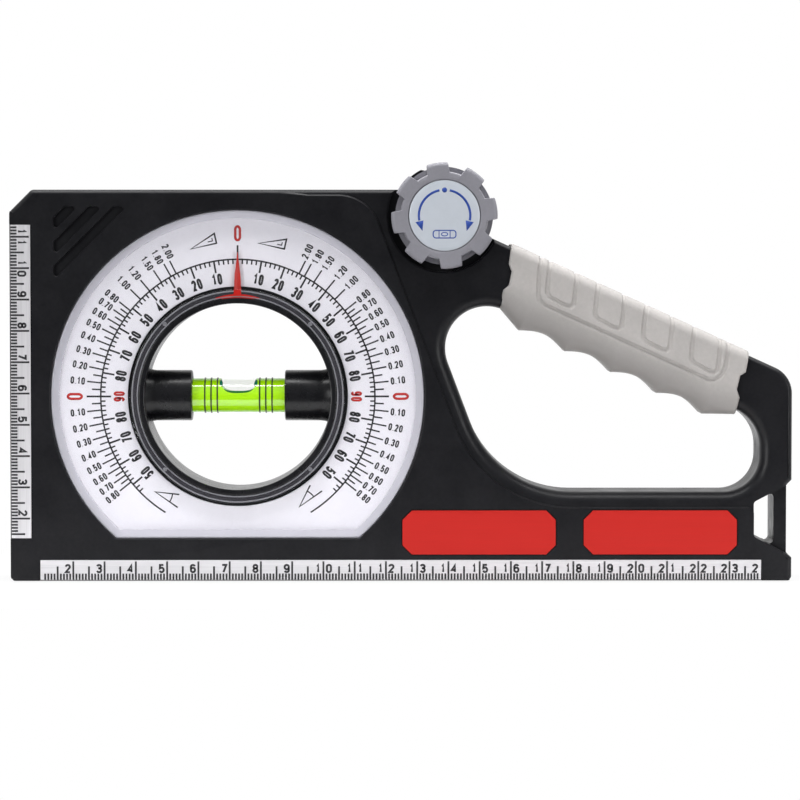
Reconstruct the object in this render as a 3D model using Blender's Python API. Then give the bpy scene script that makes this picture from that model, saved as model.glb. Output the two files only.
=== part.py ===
# Slope ruler: a flat ruler body with a geared level ring, a fixed dial, a knob and a gripped handle.
#
# Plan coordinates: x runs right from the body's left edge, z runs up from its base. Depth runs back
# along +Y from the raised front face, which lies half the body's depth in front of the origin.
# All lengths are in metres and all angles in degrees.

import math

import bmesh
import bpy
import numpy as np
from mathutils import Matrix, Vector

# Body outline
BODY_LENGTH = 0.250
BODY_HEIGHT = 0.125
BODY_DEPTH = 0.026
CORNER_CUT = 0.007
CORNER_CUT_RADIUS = 0.0018
BASE_CORNER_RADIUS = 0.0015
EDGE_BEVEL = 0.0014
FRONT_STEP = 0.0008
PARTING_SHARE = 0.57692308
WALL = 0.0024
SEAT_GAP = 0.0003
RUN_GAP = 0.0004
OVERRUN = 0.001

# Dial, lens and the hole through them
DIAL_LEFT_MARGIN = 0.0129
DIAL_TOP_MARGIN = 0.0064
DIAL_BASE = 0.0136
DIAL_CHORD_SHARE = 0.75879397
DIAL_MOUTH_CHAMFER = 0.0016
LENS_SINK = 0.0004
LENS_THICKNESS = 0.0016
LENS_RIM_WIDTH = 0.00265
LENS_BEVEL = 0.0006
LENS_HOLE_REACH = 0.0042
PLATE_THICKNESS = 0.0008

# Pointer and the clear ring that clamps it
POINTER_ROOM = 0.0012
POINTER_THICKNESS = 0.0005
POINTER_TIP_SHARE = 0.77554439
POINTER_ROOT_WIDTH = 0.0023
POINTER_MID_WIDTH = 0.0019
POINTER_MID_SHARE = 0.65326633
POINTER_NECK_WIDTH = 0.0009
POINTER_NECK_SHARE = 0.71691792
POINTER_TIP_WIDTH = 0.0003
POINTER_FOOT_ANGLE = 13.0
CLEAR_RING_WIDTH = 0.0015
CLEAR_RING_SINK = 0.0011
PEG_RADIUS = 0.00045
PEG_LENGTH = 0.0020
PEG_COUNT = 4
PEG_TURN = 45.0

# Vial ring
EYE_SHARE = 0.50251256
RING_WALL = 0.0021
RING_SINK = 0.0006
RING_LIP_CHAMFER = 0.0004
RING_SHOULDER = 0.0021
RING_FLANGE_REACH = 0.0100
RING_FLANGE_THICKNESS = 0.0020
RING_SCREW_COUNT = 4
RING_SCREW_REACH = 0.0071
RING_SCREW_TURN = 22.5

# Tubular level
VIAL_RADIUS = 0.00565
VIAL_WALL = 0.0010
VIAL_CROWN = 0.0002
VIAL_SPAN = 0.0298
VIAL_HIDDEN_END = 0.0065
VIAL_PLUG_LENGTH = 0.0040
SOCKET_WALL = 0.0022
SOCKET_FLARE = 0.0008
SOCKET_FLARE_LENGTH = 0.0030
SOCKET_LIP_CHAMFER = 0.0005
SOCKET_SPLIT = 0.0005

# Gear train
RING_TEETH = 60
RING_PITCH_SHARE = 0.75376884
PINION_TEETH = 16
PRESSURE_ANGLE = 20.0
ADDENDUM_SHARE = 0.95
DEDENDUM_SHARE = 1.25
BACKLASH = 0.00030
IDLER_SLACK_SHARE = 0.5
GEAR_PLACE_SHARE = 0.25
GEAR_WIDTH = 0.0046
GEAR_TIP_ROOM = 0.0007
IDLER_PIN_RADIUS = 0.0025
IDLER_HUB_WALL = 0.0025
PIN_SOCKET_DEPTH = 0.0016
SHAFT_RADIUS = 0.0040
SHAFT_FLAT_DROP = 0.0010
SHAFT_COLLAR_RADIUS = 0.0065
SHAFT_COLLAR_LENGTH = 0.0020
SHAFT_BACK_RADIUS = 0.0050
SHAFT_JOURNAL_RADIUS = 0.0032
JOURNAL_LENGTH = 0.0014

# Knob
KNOB_FROM_DIAL = 0.0660
KNOB_DROP = 0.0083
KNOB_RADIUS = 0.0169
KNOB_FLANGE_RADIUS = 0.0156
KNOB_NOTCH_RADIUS = 0.0140
KNOB_NOTCHES = 8
KNOB_NOTCH_TURN = 14.5
KNOB_NOTCH_RIM_ANGLE = 24.0
KNOB_NOTCH_FLOOR_ANGLE = 15.0
KNOB_STAND = 0.0060
KNOB_FLANGE_HEIGHT = 0.0024
KNOB_BEVEL = 0.0013
KNOB_POCKET_RADIUS = 0.0179
KNOB_POCKET_DEPTH = 0.0032
KNOB_LOBE_RADIUS = 0.0164
KNOB_LABEL_RADIUS = 0.0112
KNOB_LABEL_THICKNESS = 0.0004
KNOB_WELL_RADIUS = 0.0042
KNOB_WELL_DEPTH = 0.0026
KNOB_WEB = 0.0015
KNOB_SCREW_HEAD_RADIUS = 0.0036
KNOB_SCREW_HEAD = 0.0016
KNOB_SCREW_RADIUS = 0.0012
KNOB_SCREW_REACH = 0.0060
WASHER_RADIUS = 0.0075
WASHER_THICKNESS = 0.0006

# Handle, its opening and the grip
HANDLE_STEEPNESS_SHARE = 1.43672
HANDLE_RUN_FROM_KNOB = 0.0223
HANDLE_DROP_FROM_KNOB = 0.0091
HANDLE_TOP_SINK = 0.0012
HANDLE_CORNER_RADIUS = 0.0090
UNDERSIDE_AT_NOSE = 0.0206
UNDERSIDE_AT_END = 0.0187
OPENING_FLOOR_SHARE = 0.2264
OPENING_FOOT_GAP = 0.0232
OPENING_LEAN = 20.7
OPENING_RIGHT_WALL = 0.0102
OPENING_FOOT_RADIUS = 0.0348
OPENING_NOSE_RADIUS = 0.0133
OPENING_END_RADIUS = 0.0134
OPENING_FILLET = 0.0038
BAR_TOP = 0.0034
BAR_UNDERSIDE = 0.0170
BAR_DEPTH = 0.0198
BAR_END_ROOM = 0.0040
GRIP_END_INSET = 0.0146
GRIP_DEPTH = 0.0276
GRIP_DROP = 0.0222
GRIP_CUSP = 0.0022
GRIP_FIRST_CUSP_SHARE = 0.15878
GRIP_LAST_CUSP_SHARE = 0.93038
GRIP_CUSP_COUNT = 5
GRIP_HOLLOW_STEPS = 6
GRIP_BEVEL = 0.0032
GRIP_END_BEVEL_SHARE = 0.25
# Places down the grip's ends as shares of its drop, and steps along it as shares of its end inset
GRIP_END_DROP_SHARES = (0.0, 0.29, 0.37, 0.57, 0.66, 0.92)
GRIP_LEFT_STEP_SHARES = (0.0, 0.137, 0.26, 0.33, 0.26, 0.32)
GRIP_RIGHT_STEP_SHARES = (0.0, 0.11, 0.03, 0.09, 0.22, 0.32)

# Right bow with the lanyard slot
SLOT_LEFT_INSET = 0.0126
SLOT_RIGHT_INSET = 0.0062
SLOT_BOTTOM_SHARE = 0.39575972
SLOT_TOP_SHARE = 1.00353357
SLOT_SLANT = 0.0033
SLOT_RADIUS = 0.0014
BOW_NOTCH_DEPTH = 0.0014
BOW_NOTCH_BOTTOM_SHARE = 0.25795053
BOW_NOTCH_TOP_SHARE = 1.13780919
LANYARD_BAR_SINK = 0.0040

# Raised front area
STEP_TOP_X = 0.1005
STEP_SHOULDER_DROP = 0.0085
STEP_SHOULDER_RADIUS = 0.0180
STEP_OFFSET = 0.0047
STEP_RIGHT_INSET = 0.0133
STEP_END_RADIUS = 0.0058
STEP_END_SHARE = 0.42402827

# Scales and name plates
SCALE_WIDTH = 0.0063
SCALE_EDGE = 0.00035
SCALE_THICKNESS = 0.0004
SCALE_SINK = 0.0006
BASE_SCALE_START = 0.0095
BASE_SCALE_END_INSET = 0.0099
SIDE_SCALE_START = 0.0137
SIDE_SCALE_END_DROP = 0.0112
LABEL_LENGTH = 0.0490
LABEL_TOP_DROP = 0.0058
LABEL_BASE = 0.0084
LABEL_GAP = 0.0090
LABEL_RIGHT_INSET = 0.0177
LABEL_CORNER_CUT = 0.0030
LABEL_COUNT = 2

# Corner grooves
GROOVE_COUNT = 3
GROOVE_WIDTH = 0.0043
GROOVE_PITCH = 0.00776
GROOVE_FIRST_OFFSET = 0.0056
GROOVE_LEFT = 0.0141
GROOVE_TOP_DROP = 0.0054
GROOVE_DEPTH = 0.0014
GROOVE_RADIUS = 0.0008

# Screws and magnets
SCREW_RADIUS = 0.0013
SCREW_HEAD_RADIUS = 0.0025
SCREW_HEAD_HEIGHT = 0.0016
SCREW_SINK = 0.0014
SCREW_GRIP = 0.0060
SCREW_DRIVE_RADIUS = 0.0011
SCREW_DRIVE_DEPTH = 0.0009
SCREW_CORNER_INSET = 0.0125
SCREW_BASE_HEIGHT = 0.0062
BASE_SCREW_COUNT = 4
BASE_SCREW_TUCK = 0.0063
BASE_SCREW_RIGHT_INSET = 0.0120
SMALL_SCREW_RADIUS = 0.0009
SMALL_SCREW_HEAD_RADIUS = 0.0018
SMALL_SCREW_HEAD_HEIGHT = 0.0012
GRIP_SCREW_COUNT = 3
GRIP_SCREW_MARGIN_SHARE = 0.15878
MAGNET_RADIUS = 0.0050
MAGNET_HEIGHT = 0.0030
MAGNET_COUNT = 4
MAGNET_END_INSET = 0.0320

# Pockets that lighten the base under the name plates, one between each pair of screws there
POCKET_BOTTOM = 0.0060
POCKET_TOP_DROP = 0.0070
POCKET_RIB_HALF = 0.0055

# Mesh fineness
FULL_TURN = 2 * math.pi
ARC_STEP = 12.0
SMALL_ARC_STEP = 34.0
SMALL_ARC_RADIUS = 0.0025
LARGE_SEGMENTS = 48
RING_SEGMENTS = 40
KNOB_SEGMENTS = 32
SMALL_SEGMENTS = 16
TINY_SEGMENTS = 8
PILOT_SEGMENTS = 6
FILLET_STEPS = 2
FLANK_STEPS = 2
SHARP_ANGLE = 32.0
MITRE_LIMIT = 75.0
WELD_DISTANCE = 0.00001

# Depths, all measured back from the raised front face
LENS_BACK = LENS_SINK + LENS_THICKNESS
PLATE_FRONT = LENS_BACK + POINTER_ROOM + SEAT_GAP
DIAL_FLOOR = PLATE_FRONT + PLATE_THICKNESS + SEAT_GAP
CHAMBER_FRONT = DIAL_FLOOR + WALL
PARTING = BODY_DEPTH * PARTING_SHARE
CHAMBER_BACK = BODY_DEPTH - WALL
GEAR_DEPTH = CHAMBER_FRONT + (CHAMBER_BACK - CHAMBER_FRONT - GEAR_WIDTH) * GEAR_PLACE_SHARE
GEAR_BACK = GEAR_DEPTH + GEAR_WIDTH
VIAL_DEPTH = BODY_DEPTH / 2
POINTER_FRONT = LENS_BACK + (POINTER_ROOM - POINTER_THICKNESS) / 2
POINTER_BACK = POINTER_FRONT + POINTER_THICKNESS
SHOULDER_DEPTH = POINTER_BACK + SEAT_GAP
KNOB_FLOOR = FRONT_STEP + KNOB_POCKET_DEPTH
KNOB_BACK = KNOB_FLOOR - SEAT_GAP
WASHER_FLOOR = KNOB_FLOOR + WASHER_THICKNESS + SEAT_GAP
KNOB_LABEL_FLOOR = KNOB_LABEL_THICKNESS + SEAT_GAP - KNOB_STAND
KNOB_WELL_FLOOR = KNOB_LABEL_FLOOR + KNOB_WELL_DEPTH
KNOB_BORE_TOP = KNOB_WELL_FLOOR + KNOB_WEB
FRONT_BACK = PARTING - SEAT_GAP / 2
COVER_FRONT = PARTING + SEAT_GAP / 2
BAR_FRONT = (BODY_DEPTH - BAR_DEPTH) / 2
BAR_BACK = (BODY_DEPTH + BAR_DEPTH) / 2
GRIP_FRONT = (BODY_DEPTH - GRIP_DEPTH) / 2
GRIP_BACK = (BODY_DEPTH + GRIP_DEPTH) / 2
SCREW_HEAD_SEAT = BODY_DEPTH - SCREW_SINK - SCREW_HEAD_HEIGHT
PAST_BACK = BODY_DEPTH + OVERRUN

# Places worked out from the driving dimensions
OPENING_FLOOR = BODY_HEIGHT * OPENING_FLOOR_SHARE
SLOT_BOTTOM = OPENING_FLOOR * SLOT_BOTTOM_SHARE
SLOT_TOP = OPENING_FLOOR * SLOT_TOP_SHARE
BOW_NOTCH_BOTTOM = OPENING_FLOOR * BOW_NOTCH_BOTTOM_SHARE
BOW_NOTCH_TOP = OPENING_FLOOR * BOW_NOTCH_TOP_SHARE
STEP_END_Z = OPENING_FLOOR * STEP_END_SHARE
LABEL_HEIGHT = OPENING_FLOOR - LABEL_TOP_DROP - LABEL_BASE
DIAL_RADIUS = (BODY_HEIGHT - DIAL_TOP_MARGIN - DIAL_BASE) / (1 + DIAL_CHORD_SHARE)
DIAL_CHORD_DROP = DIAL_RADIUS * DIAL_CHORD_SHARE
DIAL_X = DIAL_LEFT_MARGIN + DIAL_RADIUS
DIAL_Z = DIAL_BASE + DIAL_CHORD_DROP
GEAR_MODULE = 2 * DIAL_RADIUS * RING_PITCH_SHARE / RING_TEETH
KNOB_X = DIAL_X + KNOB_FROM_DIAL
KNOB_Z = BODY_HEIGHT - KNOB_DROP
GRIP_X = KNOB_X + HANDLE_RUN_FROM_KNOB
GRIP_Z = KNOB_Z - HANDLE_DROP_FROM_KNOB
SLOPE = math.atan(HANDLE_STEEPNESS_SHARE * (GRIP_Z - OPENING_FLOOR) / BODY_LENGTH)
ALONG = Vector((math.cos(SLOPE), -math.sin(SLOPE)))
UPWARD = Vector((math.sin(SLOPE), math.cos(SLOPE)))
GRIP_LENGTH = (BODY_LENGTH - GRIP_END_INSET - GRIP_X) / math.cos(SLOPE)
EYE_RADIUS = DIAL_RADIUS * EYE_SHARE
LENS_HOLE_RADIUS = EYE_RADIUS + LENS_HOLE_REACH
RING_OUTER = EYE_RADIUS + RING_WALL
RING_SHOULDER_RADIUS = RING_OUTER + RING_SHOULDER
CLEAR_RING_INNER = RING_OUTER + SEAT_GAP
CLEAR_RING_OUTER = CLEAR_RING_INNER + CLEAR_RING_WIDTH
WEB_HOLE_RADIUS = RING_SHOULDER_RADIUS + RUN_GAP
SOCKET_BORE = VIAL_RADIUS + SEAT_GAP
SOCKET_RADIUS = SOCKET_BORE + SOCKET_WALL
VIAL_HALF_LENGTH = VIAL_SPAN / 2 + VIAL_HIDDEN_END

# Finishes: colour, roughness, metallic, opacity
FINISHES = {
    "black_plastic": ((0.022, 0.022, 0.025), 0.46, 0.0, 1.0),
    "gloss_black": ((0.012, 0.012, 0.013), 0.12, 0.0, 1.0),
    "dial_white": ((0.78, 0.78, 0.82), 0.40, 0.0, 1.0),
    "clear_plastic": ((0.90, 0.92, 0.94), 0.05, 0.0, 0.25),
    "brushed_metal": ((0.66, 0.66, 0.67), 0.34, 0.9, 1.0),
    "red_plate": ((0.62, 0.035, 0.020), 0.35, 0.0, 1.0),
    "pointer_red": ((0.70, 0.02, 0.02), 0.30, 0.0, 1.0),
    "grip_grey": ((0.50, 0.48, 0.46), 0.55, 0.0, 1.0),
    "knob_grey": ((0.22, 0.22, 0.25), 0.45, 0.0, 1.0),
    "knob_label": ((0.66, 0.71, 0.76), 0.30, 0.0, 1.0),
    "gear_nylon": ((0.75, 0.74, 0.68), 0.42, 0.0, 1.0),
    "steel": ((0.55, 0.55, 0.57), 0.25, 1.0, 1.0),
    "magnet_nickel": ((0.60, 0.59, 0.57), 0.20, 1.0, 1.0),
    "level_fluid": ((0.35, 0.75, 0.02), 0.05, 0.0, 0.75),
    "washer_rubber": ((0.03, 0.03, 0.03), 0.70, 0.0, 1.0),
}


def clear_scene():
    for old in list(bpy.data.objects):
        bpy.data.objects.remove(old, do_unlink=True)


def finish_material(name):
    """One Principled material per finish, made once and shared."""
    if name in bpy.data.materials:
        return bpy.data.materials[name]
    colour, roughness, metallic, opacity = FINISHES[name]
    material = bpy.data.materials.new(name)
    material.use_nodes = True
    shader = material.node_tree.nodes["Principled BSDF"]
    shader.inputs["Base Color"].default_value = (*colour, 1.0)
    shader.inputs["Roughness"].default_value = roughness
    shader.inputs["Metallic"].default_value = metallic
    shader.inputs["Alpha"].default_value = opacity
    material.diffuse_color = (*colour, opacity)
    return material


def at_depth(depth):
    """The world Y of a depth behind the raised front face."""
    return depth - BODY_DEPTH / 2


def add_axis(name, x, z, parent=None):
    """An empty on a body's own axis, at a place in the plan."""
    axis = bpy.data.objects.new(name, None)
    axis.empty_display_size = WALL
    bpy.context.scene.collection.objects.link(axis)
    if parent:
        axis.parent = parent
    axis.location = (x, 0, z)
    return axis


def add_object(name, shape, parent, finish=None):
    """Turns a bmesh into an object; without a finish it is a cutter, which is never rendered."""
    bmesh.ops.recalc_face_normals(shape, faces=shape.faces)
    mesh = bpy.data.meshes.new(name)
    shape.to_mesh(mesh)
    shape.free()
    thing = bpy.data.objects.new(name, mesh)
    bpy.context.scene.collection.objects.link(thing)
    thing.parent = parent
    if finish:
        mesh.materials.append(finish_material(finish))
        mesh.shade_smooth()
        mesh.set_sharp_from_angle(angle=math.radians(SHARP_ANGLE))
    else:
        thing.hide_render = True
        thing.display_type = "WIRE"
    return thing


def carve(target, cutter, operation="DIFFERENCE"):
    """Adds a live Boolean to the target."""
    change = target.modifiers.new(cutter.name, "BOOLEAN")
    change.operation = operation
    change.solver = "EXACT"
    change.object = cutter
    weld(target)


def weld(target):
    """Joins points that a cut leaves a hair apart."""
    seam = target.modifiers.new("weld", "WELD")
    seam.merge_threshold = WELD_DISTANCE


def circle(radius, segments, x=0, z=0):
    """Points of a circle in the plan, counter-clockwise."""
    angles = [FULL_TURN * i / segments for i in range(segments)]
    return [Vector((x + radius * math.cos(a), z + radius * math.sin(a))) for a in angles]


def arc(centre, radius, start, end):
    """Points along an arc from one angle to another, both ends included."""
    step = ARC_STEP if radius > SMALL_ARC_RADIUS else SMALL_ARC_STEP
    steps = max(1, math.ceil(abs(math.degrees(end - start)) / step))
    angles = [start + (end - start) * i / steps for i in range(steps + 1)]
    return [centre + radius * Vector((math.cos(a), math.sin(a))) for a in angles]


def rounded(corners):
    """A closed outline from (point, radius) corners, each turned into an arc tangent to both sides.

    An arc uses no more than half of either side. Points where two arcs touch are kept once.
    """
    outline = []
    for i, (point, radius) in enumerate(corners):
        before = (corners[i - 1][0] - point).normalized()
        after = (corners[(i + 1) % len(corners)][0] - point).normalized()
        if radius == 0:
            outline.append(point.copy())
            continue
        half_angle = before.angle(after) / 2
        spare = min((corners[i - 1][0] - point).length, (corners[(i + 1) % len(corners)][0] - point).length) / 2
        radius = min(radius, spare * math.tan(half_angle))
        centre = point + (before + after).normalized() * radius / math.sin(half_angle)
        reach = radius / math.tan(half_angle)
        first = point + before * reach - centre
        last = point + after * reach - centre
        start = math.atan2(first.y, first.x)
        sweep = math.atan2(first.x * last.y - first.y * last.x, first.dot(last))
        outline += arc(centre, radius, start, start + sweep)
    return [point for i, point in enumerate(outline) if (point - outline[i - 1]).length > WELD_DISTANCE]


def meet(point_a, direction_a, point_b, direction_b):
    """Where two plan lines cross."""
    across = direction_a.x * direction_b.y - direction_a.y * direction_b.x
    gap = point_b - point_a
    return point_a + direction_a * (gap.x * direction_b.y - gap.y * direction_b.x) / across


def grown(outline, growth, weights=None):
    """The counter-clockwise outline moved outwards by a distance along each corner's mitre."""
    result = []
    for i, point in enumerate(outline):
        into = (point - outline[i - 1]).normalized()
        away = (outline[(i + 1) % len(outline)] - point).normalized()
        normal = Vector((into.y + away.y, -into.x - away.x)).normalized()
        mitre = max(normal.dot(Vector((into.y, -into.x))), math.cos(math.radians(MITRE_LIMIT)))
        share = weights[i] if weights else 1
        result.append(point + normal * growth * share / mitre)
    return result


def fillet_levels(depth, size, direction, steps=FILLET_STEPS):
    """Pairs of depth and growth down a quarter-round edge that ends square to the face."""
    levels = []
    for i in range(steps + 1):
        turn = math.pi / 2 * i / steps
        levels.append((depth + size * (1 - math.cos(turn)), direction * size * (1 - math.sin(turn))))
    return levels


def add_moulding(shape, loops, hollow=()):
    """A solid between flat ends whose sides follow outlines that grow or shrink with depth.

    Each loop is an outline, its (depth, growth) levels from front to back, and optional weights.
    The first loop is the outside and the others are holes.
    """
    ends = [[], []]
    for outline, levels, *weights in loops:
        rings = []
        for depth, growth in levels:
            ring = grown(outline, growth, weights[0] if weights else None)
            rings.append([shape.verts.new((p.x, at_depth(depth), p.y)) for p in ring])
        for front, back in zip(rings, rings[1:]):
            for i in range(len(front)):
                shape.faces.new((front[i - 1], front[i], back[i], back[i - 1]))
        for end, ring in zip(ends, (rings[0], rings[-1])):
            end += [shape.edges.get((ring[i - 1], ring[i])) for i in range(len(ring))]
    for edges in ends:
        bmesh.ops.triangle_fill(shape, edges=edges, use_beauty=True)


def add_prism(shape, outline, front, back, holes=()):
    """A straight-sided solid between two depths."""
    levels = [(front, 0), (back, 0)]
    add_moulding(shape, [(loop, levels) for loop in (outline, *holes)])


def moulding(name, loops, parent, finish=None):
    shape = bmesh.new()
    add_moulding(shape, loops)
    return add_object(name, shape, parent, finish)


def prism(name, outline, front, back, parent, finish=None, holes=()):
    shape = bmesh.new()
    add_prism(shape, outline, front, back, holes)
    return add_object(name, shape, parent, finish)


def add_turned(shape, profile, segments, x=0, z=0, to_place=None):
    """A solid turned about an axis that runs back through the plan point.

    The profile is a closed list of (radius, y) points. A radius of zero makes a pole.
    """
    rings = []
    for radius, y in profile:
        if radius == 0:
            rings.append([shape.verts.new((x, y, z))])
        else:
            rings.append([shape.verts.new((p.x, y, p.y)) for p in circle(radius, segments, x, z)])
    for ring, following in zip(rings, rings[1:] + rings[:1]):
        if len(ring) == 1 and len(following) == 1:
            continue
        for i in range(segments):
            corners = [ring[i - 1], ring[i]] if len(ring) > 1 else [ring[0]]
            corners += [following[i], following[i - 1]] if len(following) > 1 else [following[0]]
            shape.faces.new(corners)
    if to_place:
        verts = [vert for ring in rings for vert in ring]
        bmesh.ops.transform(shape, matrix=to_place, verts=verts)


def turned(name, profile, segments, parent, finish=None, x=0, z=0, to_place=None):
    shape = bmesh.new()
    add_turned(shape, profile, segments, x, z, to_place)
    return add_object(name, shape, parent, finish)


def at_depths(*profile):
    """A turned profile given by depths instead of y values."""
    return [(radius, at_depth(depth)) for radius, depth in profile]


def rod_profile(radius, front, back):
    """The profile of a plain round rod between two depths."""
    return at_depths((0, front), (radius, front), (radius, back), (0, back))


def tube_profile(inner, outer, front, back):
    """The profile of a plain tube between two depths."""
    return at_depths((inner, front), (outer, front), (outer, back), (inner, back))


def on_grip(along, drop):
    """A plan point given by its run along the handle and its drop below the grip's upper edge."""
    return Vector((GRIP_X, GRIP_Z)) + ALONG * along - UPWARD * drop


def plan_point(x, z):
    return Vector((x, z))


def box_outline(left, bottom, right, top, radius=0):
    """A rectangle in the plan, counter-clockwise, with its corners turned to a radius."""
    corners = [plan_point(left, bottom), plan_point(right, bottom), plan_point(right, top)]
    corners.append(plan_point(left, top))
    return rounded([(corner, radius) for corner in corners])


def body_outline():
    """The case seen from the front: a ruler body, the knob's lobe, the handle and its bow."""
    knob = plan_point(KNOB_X, KNOB_Z)
    handle_top = on_grip(0, HANDLE_TOP_SINK)
    upright = plan_point(0, 1)
    bow_corner = meet(handle_top, ALONG, plan_point(BODY_LENGTH, 0), upright)
    rise = (handle_top - knob).dot(UPWARD)
    lobe_start = knob + UPWARD * rise + ALONG * math.sqrt(KNOB_LOBE_RADIUS**2 - rise**2) - knob
    lobe_end = math.pi - math.asin(KNOB_DROP / KNOB_LOBE_RADIUS)
    lobe = arc(knob, KNOB_LOBE_RADIUS, math.atan2(lobe_start.y, lobe_start.x), lobe_end)
    inner_x = BODY_LENGTH - BOW_NOTCH_DEPTH
    corners = [
        (plan_point(0, 0), BASE_CORNER_RADIUS),
        (plan_point(BODY_LENGTH, 0), BASE_CORNER_RADIUS),
        (plan_point(BODY_LENGTH, BOW_NOTCH_BOTTOM), 0),
        (plan_point(inner_x, BOW_NOTCH_BOTTOM + BOW_NOTCH_DEPTH), 0),
        (plan_point(inner_x, BOW_NOTCH_TOP - BOW_NOTCH_DEPTH), 0),
        (plan_point(BODY_LENGTH, BOW_NOTCH_TOP), 0),
        (bow_corner, HANDLE_CORNER_RADIUS),
        *[(point, 0) for point in lobe],
        (plan_point(CORNER_CUT, BODY_HEIGHT), CORNER_CUT_RADIUS),
        (plan_point(0, BODY_HEIGHT - CORNER_CUT), CORNER_CUT_RADIUS),
    ]
    return rounded(corners)


def edge_weights(outline):
    """No bevel along the base and the left edge, where the scales run to the edge."""
    return [0 if min(point.x, point.y) < SEAT_GAP else 1 for point in outline]


def opening_foot():
    return plan_point(DIAL_X + DIAL_RADIUS + OPENING_FOOT_GAP, OPENING_FLOOR)


def opening_side():
    """The direction of the opening's leaning left side, upwards."""
    lean = math.radians(OPENING_LEAN)
    return plan_point(-math.sin(lean), math.cos(lean))


def opening_outline():
    """The hand opening: leaning left side, flat floor and the handle's sloping underside."""
    foot = opening_foot()
    under_nose = on_grip(0, UNDERSIDE_AT_NOSE)
    underside = on_grip(GRIP_LENGTH, UNDERSIDE_AT_END) - under_nose
    right_end = plan_point(BODY_LENGTH - OPENING_RIGHT_WALL, OPENING_FLOOR)
    upper_end = meet(under_nose, underside, right_end, plan_point(0, 1))
    nose = meet(foot, opening_side(), under_nose, underside)
    corners = [(foot, OPENING_FOOT_RADIUS), (right_end, OPENING_END_RADIUS)]
    corners += [(upper_end, OPENING_END_RADIUS), (nose, OPENING_NOSE_RADIUS)]
    return rounded(corners)


def slot_outline():
    """The lanyard slot in the right bow, with slanting ends."""
    left = BODY_LENGTH - SLOT_LEFT_INSET
    right = BODY_LENGTH - SLOT_RIGHT_INSET
    corners = [plan_point(left, SLOT_BOTTOM + SLOT_SLANT), plan_point(right, SLOT_BOTTOM)]
    corners += [plan_point(right, SLOT_TOP), plan_point(left, SLOT_TOP - SLOT_SLANT)]
    return rounded([(corner, SLOT_RADIUS) for corner in corners])


def lanyard_recess_outline():
    """The part of the bow round the slot whose faces lie lower, so that a cord can pass."""
    left = BODY_LENGTH - SLOT_LEFT_INSET + SLOT_RADIUS
    right = BODY_LENGTH + OVERRUN
    corners = [plan_point(left, SLOT_BOTTOM + SLOT_SLANT), plan_point(right, BOW_NOTCH_BOTTOM)]
    corners += [plan_point(right, BOW_NOTCH_TOP), plan_point(left, SLOT_TOP - SLOT_SLANT)]
    return corners


def lowered_outline():
    """The front area that lies a step lower: all that is right of the crease, past the edges."""
    foot_x = opening_foot().x - STEP_OFFSET / math.cos(math.radians(OPENING_LEAN))
    floor = OPENING_FLOOR - STEP_OFFSET
    side = opening_side()
    foot = meet(plan_point(foot_x, OPENING_FLOOR), side, plan_point(0, floor), plan_point(1, 0))
    shoulder_z = BODY_HEIGHT - STEP_SHOULDER_DROP
    shoulder = meet(foot, side, plan_point(0, shoulder_z), plan_point(1, 0))
    end_x = BODY_LENGTH - STEP_RIGHT_INSET
    past_right = BODY_LENGTH + OVERRUN
    past_top = BODY_HEIGHT + KNOB_LOBE_RADIUS
    corners = [
        (plan_point(STEP_TOP_X, past_top), 0),
        (plan_point(STEP_TOP_X, BODY_HEIGHT), 0),
        (shoulder, STEP_SHOULDER_RADIUS),
        (foot, OPENING_FOOT_RADIUS + STEP_OFFSET),
        (plan_point(end_x, floor), STEP_END_RADIUS),
        (plan_point(end_x, STEP_END_Z), 0),
        (plan_point(past_right, STEP_END_Z), 0),
        (plan_point(past_right, past_top), 0),
    ]
    return rounded(corners)


def dial_outline(inset=0):
    """The dial's D shape about its centre: a circle cut by a level chord, drawn in by an inset."""
    radius = DIAL_RADIUS - inset
    drop = DIAL_CHORD_DROP - inset
    half_chord_angle = math.acos(drop / radius)
    start = -math.pi / 2 + half_chord_angle
    return arc(plan_point(0, 0), radius, start, start + FULL_TURN - 2 * half_chord_angle)


def grip_end(shares, start, upper, lower):
    """Places down one end of the grip between two drops: runs along the handle, and drops."""
    turns = [GRIP_DROP * share for share in GRIP_END_DROP_SHARES]
    steps = [start + GRIP_END_INSET * share for share in shares]
    drops = [upper] + [drop for drop in turns if upper < drop < lower] + [lower]
    return [(float(np.interp(drop, turns, steps)), drop) for drop in drops]


def finger_profile():
    """The grip's lower edge: hollows between sharp cusps, as places along it and drops."""
    first = GRIP_LENGTH * GRIP_FIRST_CUSP_SHARE
    pitch = (GRIP_LENGTH * GRIP_LAST_CUSP_SHARE - first) / (GRIP_CUSP_COUNT - 1)
    count = (GRIP_CUSP_COUNT - 1) * GRIP_HOLLOW_STEPS
    places = []
    for i in range(count + 1):
        swing = abs(math.sin(math.pi * i / GRIP_HOLLOW_STEPS))
        places.append((first + pitch * i / GRIP_HOLLOW_STEPS, GRIP_DROP + GRIP_CUSP * (1 - swing)))
    return places


def grip_outline():
    """The grip from the front, counter-clockwise from its upper left corner, with bevel weights."""
    lowest = GRIP_DROP * GRIP_END_DROP_SHARES[-1]
    left = grip_end(GRIP_LEFT_STEP_SHARES, 0, 0, lowest)
    right = grip_end(GRIP_RIGHT_STEP_SHARES, GRIP_LENGTH, 0, lowest)
    fingers = finger_profile()
    places = left + fingers + right[::-1]
    weights = [GRIP_END_BEVEL_SHARE] * len(left) + [1] * len(fingers) + [GRIP_END_BEVEL_SHARE] * len(right)
    return [on_grip(*place) for place in places], weights


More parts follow.
